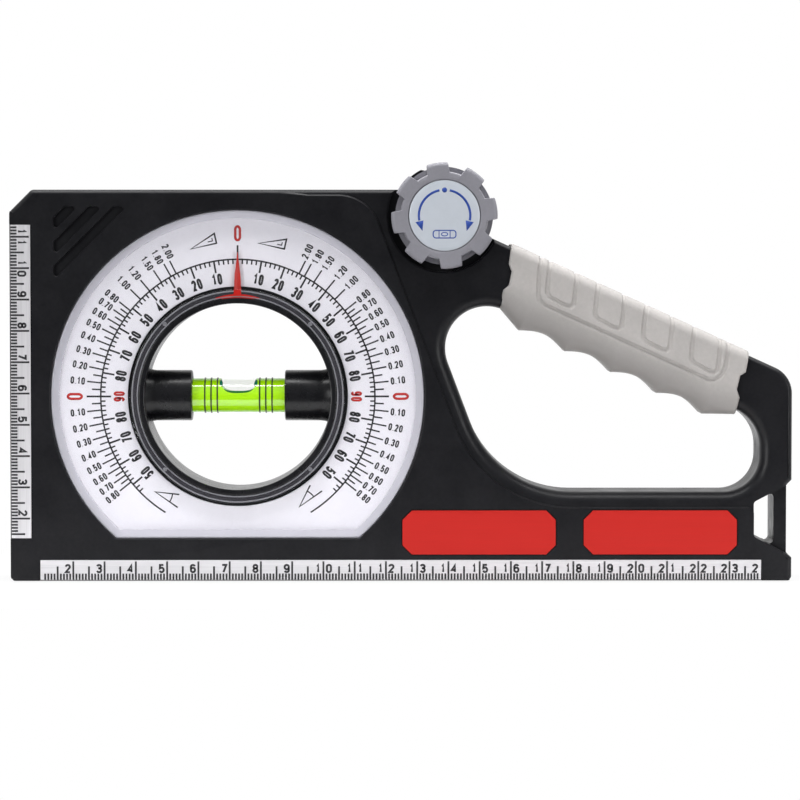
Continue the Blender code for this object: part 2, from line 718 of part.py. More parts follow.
def grip_room_outline():
    """The room the grip takes from the case: a seat gap past its ends, and well past its edges."""
    lower = GRIP_DROP + GRIP_CUSP + OVERRUN
    left = grip_end(GRIP_LEFT_STEP_SHARES, -SEAT_GAP, -BAR_TOP, lower)
    right = grip_end(GRIP_RIGHT_STEP_SHARES, GRIP_LENGTH + SEAT_GAP, -BAR_TOP, lower)
    return [on_grip(*place) for place in left + right[::-1]]


def handle_box(left, right, upper, lower):
    """A rectangle along the handle, between two places along it and two drops."""
    return [on_grip(left, lower), on_grip(right, lower), on_grip(right, upper), on_grip(left, upper)]


def involute(angle):
    return math.tan(angle) - angle


def gear_outline(teeth, phase):
    """An involute gear with one tooth centred on the phase angle, counter-clockwise."""
    pressure = math.radians(PRESSURE_ANGLE)
    pitch_radius = GEAR_MODULE * teeth / 2
    base_radius = pitch_radius * math.cos(pressure)
    tip_radius = pitch_radius + GEAR_MODULE * ADDENDUM_SHARE
    root_radius = pitch_radius - GEAR_MODULE * DEDENDUM_SHARE
    half_tooth = math.pi / (2 * teeth) - BACKLASH / (4 * pitch_radius) + involute(pressure)
    flank_start = max(base_radius, root_radius)
    flank = []
    steps = FLANK_STEPS if teeth < RING_TEETH else 1
    for i in range(steps + 1):
        radius = flank_start + (tip_radius - flank_start) * i / steps
        flank.append((radius, half_tooth - involute(math.acos(base_radius / radius))))
    if base_radius > root_radius:
        flank.insert(0, (root_radius, half_tooth))
    outline = []
    for tooth in range(teeth):
        centre = phase + FULL_TURN * tooth / teeth
        for radius, half in flank:
            outline.append(radius * plan_point(math.cos(centre - half), math.sin(centre - half)))
        for radius, half in reversed(flank):
            outline.append(radius * plan_point(math.cos(centre + half), math.sin(centre + half)))
    return outline


def meshing_phase(teeth, phase, heading, other_teeth):
    """The phase of a gear that meshes with another, seen in a heading from the other's centre."""
    offset = (heading - phase) * teeth / FULL_TURN
    return heading + math.pi - (0.5 - offset) * FULL_TURN / other_teeth


def gear_train():
    """The idler's tooth count and place, and the phases of the three gears.

    The idler is the smallest that still reaches from the ring gear to the pinion. It lies below the
    line of their centres, where the two pitch distances close a triangle.
    """
    dial = plan_point(DIAL_X, DIAL_Z)
    span = plan_point(KNOB_X, KNOB_Z) - dial
    ring_pitch = GEAR_MODULE * RING_TEETH / 2
    pinion_pitch = GEAR_MODULE * PINION_TEETH / 2
    reach = (span.length - ring_pitch - pinion_pitch) / GEAR_MODULE
    teeth = math.ceil(reach + IDLER_SLACK_SHARE)
    near = ring_pitch + GEAR_MODULE * teeth / 2
    far = pinion_pitch + GEAR_MODULE * teeth / 2
    bend = math.acos((near**2 + span.length**2 - far**2) / (2 * near * span.length))
    heading = math.atan2(span.y, span.x) - bend
    idler = dial + near * plan_point(math.cos(heading), math.sin(heading))
    onward = plan_point(KNOB_X, KNOB_Z) - idler
    idler_phase = meshing_phase(RING_TEETH, 0, heading, teeth)
    pinion_phase = meshing_phase(teeth, idler_phase, math.atan2(onward.y, onward.x), PINION_TEETH)
    return teeth, idler, idler_phase, pinion_phase


def chamber_radius(teeth):
    return GEAR_MODULE * (teeth / 2 + ADDENDUM_SHARE) + GEAR_TIP_ROOM


def base_screw_places():
    """A row of screws along the base, right of the dial."""
    first = DIAL_X + DIAL_RADIUS - BASE_SCREW_TUCK
    last = BODY_LENGTH - BASE_SCREW_RIGHT_INSET
    pitch = (last - first) / (BASE_SCREW_COUNT - 1)
    return [plan_point(first + pitch * i, SCREW_BASE_HEIGHT) for i in range(BASE_SCREW_COUNT)]


def case_screw_places():
    inset = SCREW_CORNER_INSET
    return base_screw_places() + [
        plan_point(inset, inset),
        plan_point(inset, BODY_HEIGHT - inset),
        plan_point(KNOB_X - 2 * KNOB_POCKET_RADIUS, KNOB_Z),
        on_grip(-SCREW_GRIP, (BAR_TOP + BAR_UNDERSIDE) / 2),
        plan_point(BODY_LENGTH - OPENING_RIGHT_WALL / 2, OPENING_FLOOR + OPENING_END_RADIUS),
    ]


def grip_screw_places():
    margin = GRIP_LENGTH * GRIP_SCREW_MARGIN_SHARE
    pitch = (GRIP_LENGTH - 2 * margin) / (GRIP_SCREW_COUNT - 1)
    middle = (BAR_TOP + BAR_UNDERSIDE) / 2
    return [on_grip(margin + pitch * i, middle) for i in range(GRIP_SCREW_COUNT)]


def screw_profile(radius, head_radius, tip, seat, head_height, driven=True):
    """A screw from its tip to the top of its head, with a round drive recess."""
    profile = [(0, tip), (radius, tip), (radius, seat), (head_radius, seat)]
    profile.append((head_radius, seat + head_height))
    if driven:
        floor = seat + head_height - SCREW_DRIVE_DEPTH
        profile += [(SCREW_DRIVE_RADIUS, seat + head_height), (SCREW_DRIVE_RADIUS, floor), (0, floor)]
    else:
        profile.append((0, seat + head_height))
    return at_depths(*profile)


def scale_outline(side, room=0):
    """The base scale, or the side scale, with room round it where it is a recess."""
    inner = SCALE_EDGE + SCALE_WIDTH + room
    outer = -OVERRUN if room else SCALE_EDGE
    if side:
        return box_outline(outer, SIDE_SCALE_START - room, inner, BODY_HEIGHT - SIDE_SCALE_END_DROP + room)
    right = BODY_LENGTH - BASE_SCALE_END_INSET + room
    return box_outline(BASE_SCALE_START - room, outer, right, inner)


def label_outline(index, room=0):
    """A name plate with its corners cut off; the first lies on the left."""
    pitch = LABEL_LENGTH + LABEL_GAP
    left = BODY_LENGTH - LABEL_RIGHT_INSET - LABEL_LENGTH - pitch * (LABEL_COUNT - 1 - index)
    right = left + LABEL_LENGTH
    top = LABEL_BASE + LABEL_HEIGHT
    cut = LABEL_CORNER_CUT
    corners = [(left + cut, LABEL_BASE), (right - cut, LABEL_BASE), (right, LABEL_BASE + cut)]
    corners += [(right, top - cut), (right - cut, top), (left + cut, top)]
    corners += [(left, top - cut), (left, LABEL_BASE + cut)]
    return grown([plan_point(*corner) for corner in corners], room)


def groove_outline(index):
    """A slanting slot in the upper left corner, bounded by a left edge and a top edge."""
    top = BODY_HEIGHT - GROOVE_TOP_DROP
    near = GROOVE_FIRST_OFFSET + GROOVE_PITCH * index - GROOVE_WIDTH / 2
    far = near + GROOVE_WIDTH
    corners = [plan_point(GROOVE_LEFT, top - far), plan_point(GROOVE_LEFT + far, top)]
    corners += [plan_point(GROOVE_LEFT + near, top), plan_point(GROOVE_LEFT, top - near)]
    return rounded([(corner, GROOVE_RADIUS) for corner in corners])


def rods(name, places, profile, segments, parent):
    """One cutter that holds the same turned shape at several places."""
    shape = bmesh.new()
    for place in places:
        add_turned(shape, profile, segments, place.x, place.y)
    return add_object(name, shape, parent)


def magnet_places():
    pitch = (BODY_LENGTH - 2 * MAGNET_END_INSET) / (MAGNET_COUNT - 1)
    return [MAGNET_END_INSET + pitch * i for i in range(MAGNET_COUNT)]


def upright_at(x):
    """Turns a shape made about the depth axis upright, at a place along the base."""
    return Matrix.Translation((x, 0, 0)) @ Matrix.Rotation(math.pi / 2, 4, "X")


def shared_cutters(case):
    """Cutters that both halves of the case use."""
    teeth, idler, _, _ = gear_train()
    cutters = []
    gears = (("ring_chamber", plan_point(DIAL_X, DIAL_Z), RING_TEETH, LARGE_SEGMENTS),
             ("idler_chamber", idler, teeth, RING_SEGMENTS // 2),
             ("pinion_chamber", plan_point(KNOB_X, KNOB_Z), PINION_TEETH, RING_SEGMENTS // 2))
    for name, place, count, segments in gears:
        profile = rod_profile(chamber_radius(count), CHAMBER_FRONT, CHAMBER_BACK)
        cutters.append(turned(name, profile, segments, case, x=place.x, z=place.y))
    pockets = bmesh.new()
    screws = base_screw_places()
    for left, right in zip(screws, screws[1:]):
        outline = box_outline(left.x + POCKET_RIB_HALF, POCKET_BOTTOM, right.x - POCKET_RIB_HALF,
                              OPENING_FLOOR - POCKET_TOP_DROP)
        add_prism(pockets, outline, SCALE_SINK + WALL, CHAMBER_BACK)
    cutters.append(add_object("base_pockets", pockets, case))
    sockets = bmesh.new()
    for front, back in ((CHAMBER_FRONT - PIN_SOCKET_DEPTH, CHAMBER_FRONT + OVERRUN),
                        (CHAMBER_BACK - OVERRUN, CHAMBER_BACK + PIN_SOCKET_DEPTH)):
        profile = rod_profile(IDLER_PIN_RADIUS + SEAT_GAP, front, back)
        add_turned(sockets, profile, SMALL_SEGMENTS, idler.x, idler.y)
    cutters.append(add_object("idler_pin_sockets", sockets, case))
    magnets = bmesh.new()
    hole = [(0, -OVERRUN), (MAGNET_RADIUS + SEAT_GAP, -OVERRUN)]
    hole += [(MAGNET_RADIUS + SEAT_GAP, MAGNET_HEIGHT + 2 * SEAT_GAP), (0, MAGNET_HEIGHT + 2 * SEAT_GAP)]
    for x in magnet_places():
        add_turned(magnets, hole, SMALL_SEGMENTS, to_place=upright_at(x))
    cutters.append(add_object("magnet_holes", magnets, case))
    neck_room = prism("neck_room", grip_room_outline(), -OVERRUN, PAST_BACK, case)
    kept = handle_box(-GRIP_END_INSET, GRIP_LENGTH + GRIP_END_INSET, BAR_TOP, BAR_UNDERSIDE)
    carve(neck_room, prism("kept_bar", kept, BAR_FRONT, BAR_BACK, case))
    cutters.append(neck_room)
    recess = bmesh.new()
    add_prism(recess, lanyard_recess_outline(), -OVERRUN, FRONT_STEP + LANYARD_BAR_SINK)
    add_prism(recess, lanyard_recess_outline(), BODY_DEPTH - LANYARD_BAR_SINK, PAST_BACK)
    cutters.append(add_object("lanyard_recess", recess, case))
    cutters.append(rods("grip_screw_ways", grip_screw_places(),
                        rod_profile(SCREW_RADIUS + SEAT_GAP, BAR_FRONT - OVERRUN, BAR_BACK + OVERRUN),
                        TINY_SEGMENTS, case))
    return cutters


def make_front_shell(case, dial, cutters):
    outline = body_outline()
    edge = [(0, -EDGE_BEVEL), (EDGE_BEVEL, 0), (FRONT_BACK, 0)]
    hand = [(0, OPENING_FILLET)] + fillet_levels(FRONT_STEP, OPENING_FILLET, 1) + [(FRONT_BACK, 0)]
    cord = [(0, 0), (FRONT_BACK, 0)]
    loops = [(outline, edge, edge_weights(outline)), (opening_outline(), hand), (slot_outline(), cord)]
    shell = moulding("front_shell", loops, case, "black_plastic")
    own = [prism("lowered_area", lowered_outline(), -OVERRUN, FRONT_STEP, case)]
    mouth = [(-OVERRUN, DIAL_MOUTH_CHAMFER + OVERRUN), (DIAL_MOUTH_CHAMFER, 0), (DIAL_FLOOR, 0)]
    own.append(moulding("dial_recess", [(dial_outline(), mouth)], dial))
    web = rod_profile(WEB_HOLE_RADIUS, DIAL_FLOOR - OVERRUN, CHAMBER_FRONT + OVERRUN)
    own.append(turned("web_hole", web, RING_SEGMENTS, dial))
    pocket = rod_profile(KNOB_POCKET_RADIUS, -OVERRUN, KNOB_FLOOR)
    own.append(turned("knob_pocket", pocket, RING_SEGMENTS, case, x=KNOB_X, z=KNOB_Z))
    washer = WASHER_RADIUS + SEAT_GAP
    bore = SHAFT_RADIUS + RUN_GAP
    way = at_depths((0, KNOB_FLOOR - OVERRUN), (washer, KNOB_FLOOR - OVERRUN), (washer, WASHER_FLOOR),
                    (bore, WASHER_FLOOR), (bore, CHAMBER_FRONT + OVERRUN), (0, CHAMBER_FRONT + OVERRUN))
    own.append(turned("shaft_way", way, SMALL_SEGMENTS, case, x=KNOB_X, z=KNOB_Z))
    recesses = bmesh.new()
    for outline in (scale_outline(False, SEAT_GAP), scale_outline(True, SEAT_GAP)):
        add_prism(recesses, outline, -OVERRUN, SCALE_SINK)
    for index in range(LABEL_COUNT):
        add_prism(recesses, label_outline(index, SEAT_GAP), -OVERRUN, SCALE_SINK)
    for index in range(GROOVE_COUNT):
        add_prism(recesses, groove_outline(index), -OVERRUN, GROOVE_DEPTH)
    own.append(add_object("front_recesses", recesses, case))
    pilot = rod_profile(SCREW_RADIUS + SEAT_GAP, PARTING - SCREW_GRIP - SEAT_GAP, PARTING + OVERRUN)
    own.append(rods("screw_pilots", case_screw_places(), pilot, PILOT_SEGMENTS, case))
    for cutter in own + cutters:
        carve(shell, cutter)


def make_rear_shell(case, dial, cutters):
    outline = body_outline()
    edge = [(COVER_FRONT, 0), (BODY_DEPTH - EDGE_BEVEL, 0), (BODY_DEPTH, -EDGE_BEVEL)]
    turn_in = fillet_levels(0, OPENING_FILLET, 1)[::-1]
    hand = [(COVER_FRONT, 0)] + [(BODY_DEPTH - depth, growth) for depth, growth in turn_in]
    cord = [(COVER_FRONT, 0), (BODY_DEPTH, 0)]
    loops = [(outline, edge, edge_weights(outline)), (opening_outline(), hand), (slot_outline(), cord)]
    shell = moulding("rear_shell", loops, case, "black_plastic")
    eye = RING_OUTER + RUN_GAP
    way = at_depths((0, CHAMBER_BACK - OVERRUN), (eye, CHAMBER_BACK - OVERRUN),
                    (eye, BODY_DEPTH - RING_SINK), (eye + RING_SINK + OVERRUN, PAST_BACK), (0, PAST_BACK))
    own = [turned("rear_eye", way, RING_SEGMENTS, dial)]
    journal = rod_profile(SHAFT_JOURNAL_RADIUS + RUN_GAP, CHAMBER_BACK - OVERRUN,
                          CHAMBER_BACK + JOURNAL_LENGTH)
    own.append(turned("journal_socket", journal, SMALL_SEGMENTS, case, x=KNOB_X, z=KNOB_Z))
    shank = SCREW_RADIUS + SEAT_GAP
    head = SCREW_HEAD_RADIUS + SEAT_GAP
    seat = SCREW_HEAD_SEAT - SEAT_GAP
    hole = at_depths((0, COVER_FRONT - OVERRUN), (shank, COVER_FRONT - OVERRUN), (shank, seat),
                     (head, seat), (head, PAST_BACK), (0, PAST_BACK))
    own.append(rods("screw_ways", case_screw_places(), hole, TINY_SEGMENTS, case))
    for cutter in own + cutters:
        carve(shell, cutter)


def make_dial(dial):
    """The printed plate and the clear lens, whose thick rim stands on the plate."""
    inset = SEAT_GAP
    hole = circle(WEB_HOLE_RADIUS, RING_SEGMENTS)
    prism("dial_plate", dial_outline(inset), PLATE_FRONT, PLATE_FRONT + PLATE_THICKNESS, dial,
          "dial_white", holes=[hole])
    foot = LENS_BACK + POINTER_ROOM
    rim = [(LENS_SINK, -LENS_BEVEL), (LENS_SINK + LENS_BEVEL, 0), (foot, 0)]
    eye = [(LENS_SINK, 0), (foot, 0)]
    lens_hole = circle(LENS_HOLE_RADIUS, RING_SEGMENTS)
    lens = moulding("dial_lens", [(dial_outline(inset), rim), (lens_hole, eye)], dial, "clear_plastic")
    room = dial_outline(inset + LENS_RIM_WIDTH)
    carve(lens, prism("pointer_room", room, LENS_BACK, foot + OVERRUN, dial))


def make_trim(case):
    """The two scales and the name plates, each in its own shallow recess."""
    back = SCALE_SINK - SEAT_GAP
    front = back - SCALE_THICKNESS
    prism("bottom_scale", scale_outline(False), front, back, case, "brushed_metal")
    prism("side_scale", scale_outline(True), front, back, case, "brushed_metal")
    for index in range(LABEL_COUNT):
        prism(f"red_label_{index + 1}", label_outline(index), front, back, case, "red_plate")


def make_fasteners(case):
    """The case screws, the grip screws and the magnets pressed into the base."""
    tip = PARTING - SCREW_GRIP
    profile = screw_profile(SCREW_RADIUS, SCREW_HEAD_RADIUS, tip, SCREW_HEAD_SEAT, SCREW_HEAD_HEIGHT)
    for i, place in enumerate(case_screw_places()):
        turned(f"case_screw_{i + 1}", profile, TINY_SEGMENTS, case, "steel", place.x, place.y)
    seat = GRIP_BACK - SCREW_SINK - SCREW_HEAD_HEIGHT
    tip = GRIP_FRONT + SCREW_SINK
    profile = screw_profile(SCREW_RADIUS, SCREW_HEAD_RADIUS, tip, seat, SCREW_HEAD_HEIGHT)
    for i, place in enumerate(grip_screw_places()):
        turned(f"grip_screw_{i + 1}", profile, TINY_SEGMENTS, case, "steel", place.x, place.y)
    disc = [(0, SEAT_GAP), (MAGNET_RADIUS, SEAT_GAP), (MAGNET_RADIUS, SEAT_GAP + MAGNET_HEIGHT)]
    disc.append((0, SEAT_GAP + MAGNET_HEIGHT))
    for i, x in enumerate(magnet_places()):
        turned(f"base_magnet_{i + 1}", disc, SMALL_SEGMENTS, case, "magnet_nickel", to_place=upright_at(x))


def make_grip(case):
    """Two shells that close round the bar, parted on the case's middle plane."""
    outline, weights = grip_outline()
    half_gap = SEAT_GAP / 2
    rounding = fillet_levels(0, GRIP_BEVEL, -1)
    front = [(GRIP_FRONT + depth, growth) for depth, growth in rounding]
    front.append((VIAL_DEPTH - half_gap, 0))
    back = [(VIAL_DEPTH + half_gap, 0)]
    back += [(GRIP_BACK - depth, growth) for depth, growth in rounding[::-1]]
    past = BAR_END_ROOM + GRIP_END_INSET
    room = handle_box(-past, GRIP_LENGTH + past, BAR_TOP - SEAT_GAP, BAR_UNDERSIDE + SEAT_GAP)
    bar_room = prism("bar_room", room, BAR_FRONT - SEAT_GAP, BAR_BACK + SEAT_GAP, case)
    shank = SCREW_RADIUS + SEAT_GAP
    head = SCREW_HEAD_RADIUS + SEAT_GAP
    seat = GRIP_BACK - SCREW_SINK - SCREW_HEAD_HEIGHT - SEAT_GAP
    past_grip_back = GRIP_BACK + OVERRUN
    hole = at_depths((0, BAR_BACK), (shank, BAR_BACK), (shank, seat), (head, seat),
                     (head, past_grip_back), (0, past_grip_back))
    pilot = rod_profile(shank, GRIP_FRONT + SCREW_SINK - SEAT_GAP, BAR_FRONT)
    ways = {"grip_front": rods("grip_pilots", grip_screw_places(), pilot, PILOT_SEGMENTS, case),
            "grip_rear": rods("grip_ways", grip_screw_places(), hole, TINY_SEGMENTS, case)}
    for name, levels in (("grip_front", front), ("grip_rear", back)):
        half = moulding(name, [(outline, levels, weights)], case, "grip_grey")
        carve(half, bar_room)
        carve(half, ways[name])


def add_half_sockets(shape, front_half):
    """Half-round rods along x that grow into the ring wall; the vial's bore is cut later."""
    sign = 1 if front_half else -1
    reach = (EYE_RADIUS + RING_OUTER) / 2
    start = VIAL_SPAN / 2
    stations = [
        (start, SOCKET_RADIUS - SOCKET_LIP_CHAMFER),
        (start + SOCKET_LIP_CHAMFER, SOCKET_RADIUS),
        (EYE_RADIUS - SOCKET_FLARE_LENGTH, SOCKET_RADIUS),
        (EYE_RADIUS, SOCKET_RADIUS + SOCKET_FLARE),
        (reach, SOCKET_RADIUS + SOCKET_FLARE),
    ]
    steps = SMALL_SEGMENTS // 2
    flat = SOCKET_SPLIT / 2
    for side in (-1, 1):
        rings = []
        for x, radius in stations:
            start_angle = math.asin(flat / radius)
            ring = []
            for i in range(steps + 1):
                angle = start_angle + (math.pi - 2 * start_angle) * i / steps
                y = at_depth(VIAL_DEPTH) - sign * radius * math.sin(angle)
                ring.append(shape.verts.new((side * x, y, radius * math.cos(angle))))
            rings.append(ring)
        for ring, following in zip(rings, rings[1:]):
            for i in range(len(ring)):
                shape.faces.new((ring[i - 1], ring[i], following[i], following[i - 1]))
        shape.faces.new(rings[0])
        shape.faces.new(rings[-1])


def make_vial_ring(ring):
    """The two halves of the ring: a tube round the eye, a flange for the gear, half sockets."""
    half_gap = SEAT_GAP / 2
    eye, outer, shoulder = EYE_RADIUS, RING_OUTER, RING_SHOULDER_RADIUS
    flange = EYE_RADIUS + RING_FLANGE_REACH
    flange_front = CHAMBER_FRONT + SEAT_GAP
    lip = RING_LIP_CHAMFER
    front = at_depths((eye, RING_SINK + lip), (eye + lip, RING_SINK), (outer, RING_SINK),
                      (outer, SHOULDER_DEPTH), (shoulder, SHOULDER_DEPTH), (shoulder, flange_front),
                      (flange, flange_front), (flange, GEAR_DEPTH - SEAT_GAP),
                      (outer, GEAR_DEPTH - SEAT_GAP), (outer, VIAL_DEPTH - half_gap),
                      (eye, VIAL_DEPTH - half_gap))
    back_end = BODY_DEPTH - RING_SINK
    flange_back = GEAR_BACK + SEAT_GAP + RING_FLANGE_THICKNESS
    rear = at_depths((eye, VIAL_DEPTH + half_gap), (outer, VIAL_DEPTH + half_gap),
                     (outer, GEAR_BACK + SEAT_GAP), (flange, GEAR_BACK + SEAT_GAP),
                     (flange, flange_back), (shoulder, flange_back), (shoulder, CHAMBER_BACK - SEAT_GAP),
                     (outer, CHAMBER_BACK - SEAT_GAP), (outer, back_end), (eye + lip, back_end),
                     (eye, back_end - lip))
    bore = [(0, -VIAL_HALF_LENGTH - SEAT_GAP), (SOCKET_BORE, -VIAL_HALF_LENGTH - SEAT_GAP)]
    bore += [(SOCKET_BORE, VIAL_HALF_LENGTH + SEAT_GAP), (0, VIAL_HALF_LENGTH + SEAT_GAP)]
    across = Matrix.Rotation(math.pi / 2, 4, "Z")
    vial_bore = turned("vial_bore", bore, SMALL_SEGMENTS, ring, to_place=across)
    screw_places = ring_places(RING_SCREW_COUNT, EYE_RADIUS + RING_SCREW_REACH, RING_SCREW_TURN)
    way = rod_profile(SMALL_SCREW_RADIUS + SEAT_GAP, CHAMBER_FRONT - OVERRUN, flange_back + OVERRUN)
    screw_ways = rods("ring_screw_ways", screw_places, way, TINY_SEGMENTS, ring)
    peg_places = ring_places(PEG_COUNT, peg_circle(), PEG_TURN)
    peg_hole = rod_profile(PEG_RADIUS + SEAT_GAP, SHOULDER_DEPTH - OVERRUN,
                           POINTER_BACK + PEG_LENGTH + SEAT_GAP)
    peg_holes = rods("peg_holes", peg_places, peg_hole, TINY_SEGMENTS, ring)
    for name, profile, front_half in (("vial_ring_front", front, True), ("vial_ring_rear", rear, False)):
        half = turned(name, profile, RING_SEGMENTS, ring, "gloss_black")
        sockets = bmesh.new()
        add_half_sockets(sockets, front_half)
        carve(half, add_object(f"{name}_sockets", sockets, ring), "UNION")
        carve(half, vial_bore)
        carve(half, screw_ways)
        if front_half:
            carve(half, peg_holes)
    outline = gear_outline(RING_TEETH, 0)
    hub = circle(RING_OUTER + SEAT_GAP, RING_SEGMENTS)
    holes = [circle(SMALL_SCREW_RADIUS + SEAT_GAP, TINY_SEGMENTS, *place) for place in screw_places]
    prism("ring_gear", outline, GEAR_DEPTH, GEAR_BACK, ring, "gear_nylon", holes=[hub, *holes])
    profile = screw_profile(SMALL_SCREW_RADIUS, SMALL_SCREW_HEAD_RADIUS, CHAMBER_FRONT + 2 * SEAT_GAP,
                            flange_back + SEAT_GAP, SMALL_SCREW_HEAD_HEIGHT, driven=False)
    for i, place in enumerate(screw_places):
        turned(f"ring_screw_{i + 1}", profile, TINY_SEGMENTS, ring, "steel", place.x, place.y)


def ring_places(count, radius, turn):
    """Evenly spaced places round the ring's centre, the first turned from +x."""
    angles = [math.radians(turn) + FULL_TURN * i / count for i in range(count)]
    return [radius * plan_point(math.cos(a), math.sin(a)) for a in angles]


def peg_circle():
    return CLEAR_RING_INNER + CLEAR_RING_WIDTH / 2


def sector(inner, outer, half_angle):
    """A piece of a flat ring that straddles the upward direction, counter-clockwise."""
    middle = math.pi / 2
    centre = plan_point(0, 0)
    outside = arc(centre, outer, middle - half_angle, middle + half_angle)
    return outside + arc(centre, inner, middle + half_angle, middle - half_angle)


def make_pointer(ring):
    """The red needle with its curved foot, and the clear ring that clamps the foot."""
    half_angle = math.radians(POINTER_FOOT_ANGLE)
    foot = sector(CLEAR_RING_INNER, CLEAR_RING_OUTER, half_angle)
    stations = [(CLEAR_RING_OUTER, POINTER_ROOT_WIDTH), (DIAL_RADIUS * POINTER_MID_SHARE, POINTER_MID_WIDTH),
                (DIAL_RADIUS * POINTER_NECK_SHARE, POINTER_NECK_WIDTH),
                (DIAL_RADIUS * POINTER_TIP_SHARE, POINTER_TIP_WIDTH)]
    right = [plan_point(width / 2, height) for height, width in stations]
    left = [plan_point(-width / 2, height) for height, width in reversed(stations)]
    root = math.asin(POINTER_ROOT_WIDTH / 2 / CLEAR_RING_OUTER)
    middle = math.pi / 2
    centre = plan_point(0, 0)
    outline = arc(centre, CLEAR_RING_OUTER, middle - half_angle, middle - root)[:-1] + right + left
    outline += arc(centre, CLEAR_RING_OUTER, middle + root, middle + half_angle)[1:]
    outline += foot[len(foot) // 2:]
    prism("pointer", outline, POINTER_FRONT, POINTER_BACK, ring, "pointer_red")
    profile = tube_profile(CLEAR_RING_INNER, CLEAR_RING_OUTER, CLEAR_RING_SINK, POINTER_BACK)
    clear = turned("clear_ring", profile, RING_SEGMENTS, ring, "clear_plastic")
    room_angle = half_angle + SEAT_GAP / CLEAR_RING_INNER
    room = sector(CLEAR_RING_INNER - OVERRUN, CLEAR_RING_OUTER + OVERRUN, room_angle)
    carve(clear, prism("foot_room", room, POINTER_FRONT - SEAT_GAP, POINTER_BACK + OVERRUN, ring))
    peg = rod_profile(PEG_RADIUS, POINTER_BACK - SEAT_GAP, POINTER_BACK + PEG_LENGTH)
    places = ring_places(PEG_COUNT, peg_circle(), PEG_TURN)
    carve(clear, rods("pegs", places, peg, TINY_SEGMENTS // 2, ring), "UNION")


def make_vial(ring):
    """The level: a clear tube with a barrel-shaped bore, the fluid in it and the plug that closes it."""
    across = Matrix.Rotation(math.pi / 2, 4, "Z")
    half = VIAL_HALF_LENGTH
    bore_end = VIAL_RADIUS - VIAL_WALL - VIAL_CROWN
    bore_middle = VIAL_RADIUS - VIAL_WALL
    floor = -half + VIAL_WALL
    tube = [(0, -half), (VIAL_RADIUS, -half), (VIAL_RADIUS, half), (bore_end, half), (bore_middle, 0),
            (bore_end, floor), (0, floor)]
    turned("vial_tube", tube, SMALL_SEGMENTS, ring, "clear_plastic", to_place=across)
    plug_radius = bore_end - SEAT_GAP
    plug_start = half - VIAL_PLUG_LENGTH
    plug = [(0, plug_start), (plug_radius, plug_start), (plug_radius, half), (0, half)]
    turned("vial_plug", plug, SMALL_SEGMENTS, ring, "gloss_black", to_place=across)
    start = floor + SEAT_GAP
    end = plug_start - SEAT_GAP
    fluid = [(0, start), (plug_radius, start), (bore_middle - SEAT_GAP, 0), (plug_radius, end), (0, end)]
    turned("vial_fluid", fluid, SMALL_SEGMENTS, ring, "level_fluid", to_place=across)


def make_idler(idler_axis):
    """The idler gear with a long hub that locates it between the case walls, and its pin."""
    teeth, _, phase, _ = gear_train()
    hub_radius = IDLER_PIN_RADIUS + RUN_GAP + IDLER_HUB_WALL
    front = CHAMBER_FRONT + SEAT_GAP
    back = CHAMBER_BACK - SEAT_GAP
    outline = gear_outline(teeth, phase)
    gear = prism("idler_gear", outline, GEAR_DEPTH, GEAR_BACK, idler_axis, "gear_nylon")
    hub = turned("idler_hub", rod_profile(hub_radius, front, back), SMALL_SEGMENTS, idler_axis)
    bore = rod_profile(IDLER_PIN_RADIUS + RUN_GAP, front - OVERRUN, back + OVERRUN)
    carve(gear, hub, "UNION")
    carve(gear, turned("idler_bore", bore, SMALL_SEGMENTS, idler_axis))


def make_idler_pin(case):
    _, idler, _, _ = gear_train()
    profile = rod_profile(IDLER_PIN_RADIUS, CHAMBER_FRONT - PIN_SOCKET_DEPTH + SEAT_GAP,
                          CHAMBER_BACK + PIN_SOCKET_DEPTH - SEAT_GAP)
    turned("idler_pin", profile, SMALL_SEGMENTS, case, "steel", idler.x, idler.y)


def make_drive_pinion(knob):
    """The pinion in one piece with the knob's shaft, whose front end has a flat."""
    _, _, _, phase = gear_train()
    collar_front = CHAMBER_FRONT + SEAT_GAP
    collar_back = GEAR_BACK + SHAFT_COLLAR_LENGTH
    shaft_front = KNOB_BORE_TOP + SEAT_GAP
    back = CHAMBER_BACK - SEAT_GAP
    journal = CHAMBER_BACK + JOURNAL_LENGTH - SEAT_GAP
    profile = at_depths((0, shaft_front), (SHAFT_RADIUS, shaft_front), (SHAFT_RADIUS, collar_front),
                        (SHAFT_COLLAR_RADIUS, collar_front), (SHAFT_COLLAR_RADIUS, collar_back),
                        (SHAFT_BACK_RADIUS, collar_back), (SHAFT_BACK_RADIUS, back),
                        (SHAFT_JOURNAL_RADIUS, back), (SHAFT_JOURNAL_RADIUS, journal), (0, journal))
    shaft = turned("drive_pinion", profile, SMALL_SEGMENTS, knob, "gear_nylon")
    teeth = prism("pinion_teeth", gear_outline(PINION_TEETH, phase), GEAR_DEPTH, GEAR_BACK, knob)
    carve(shaft, teeth, "UNION")
    past = SHAFT_RADIUS + OVERRUN
    flat = box_outline(-past, SHAFT_RADIUS - SHAFT_FLAT_DROP, past, past)
    carve(shaft, prism("shaft_flat", flat, shaft_front - OVERRUN, KNOB_BACK, knob))
    pilot = rod_profile(KNOB_SCREW_RADIUS + SEAT_GAP, shaft_front - OVERRUN,
                        KNOB_WELL_FLOOR + KNOB_SCREW_REACH + SEAT_GAP)
    carve(shaft, turned("shaft_pilot", pilot, TINY_SEGMENTS, knob))


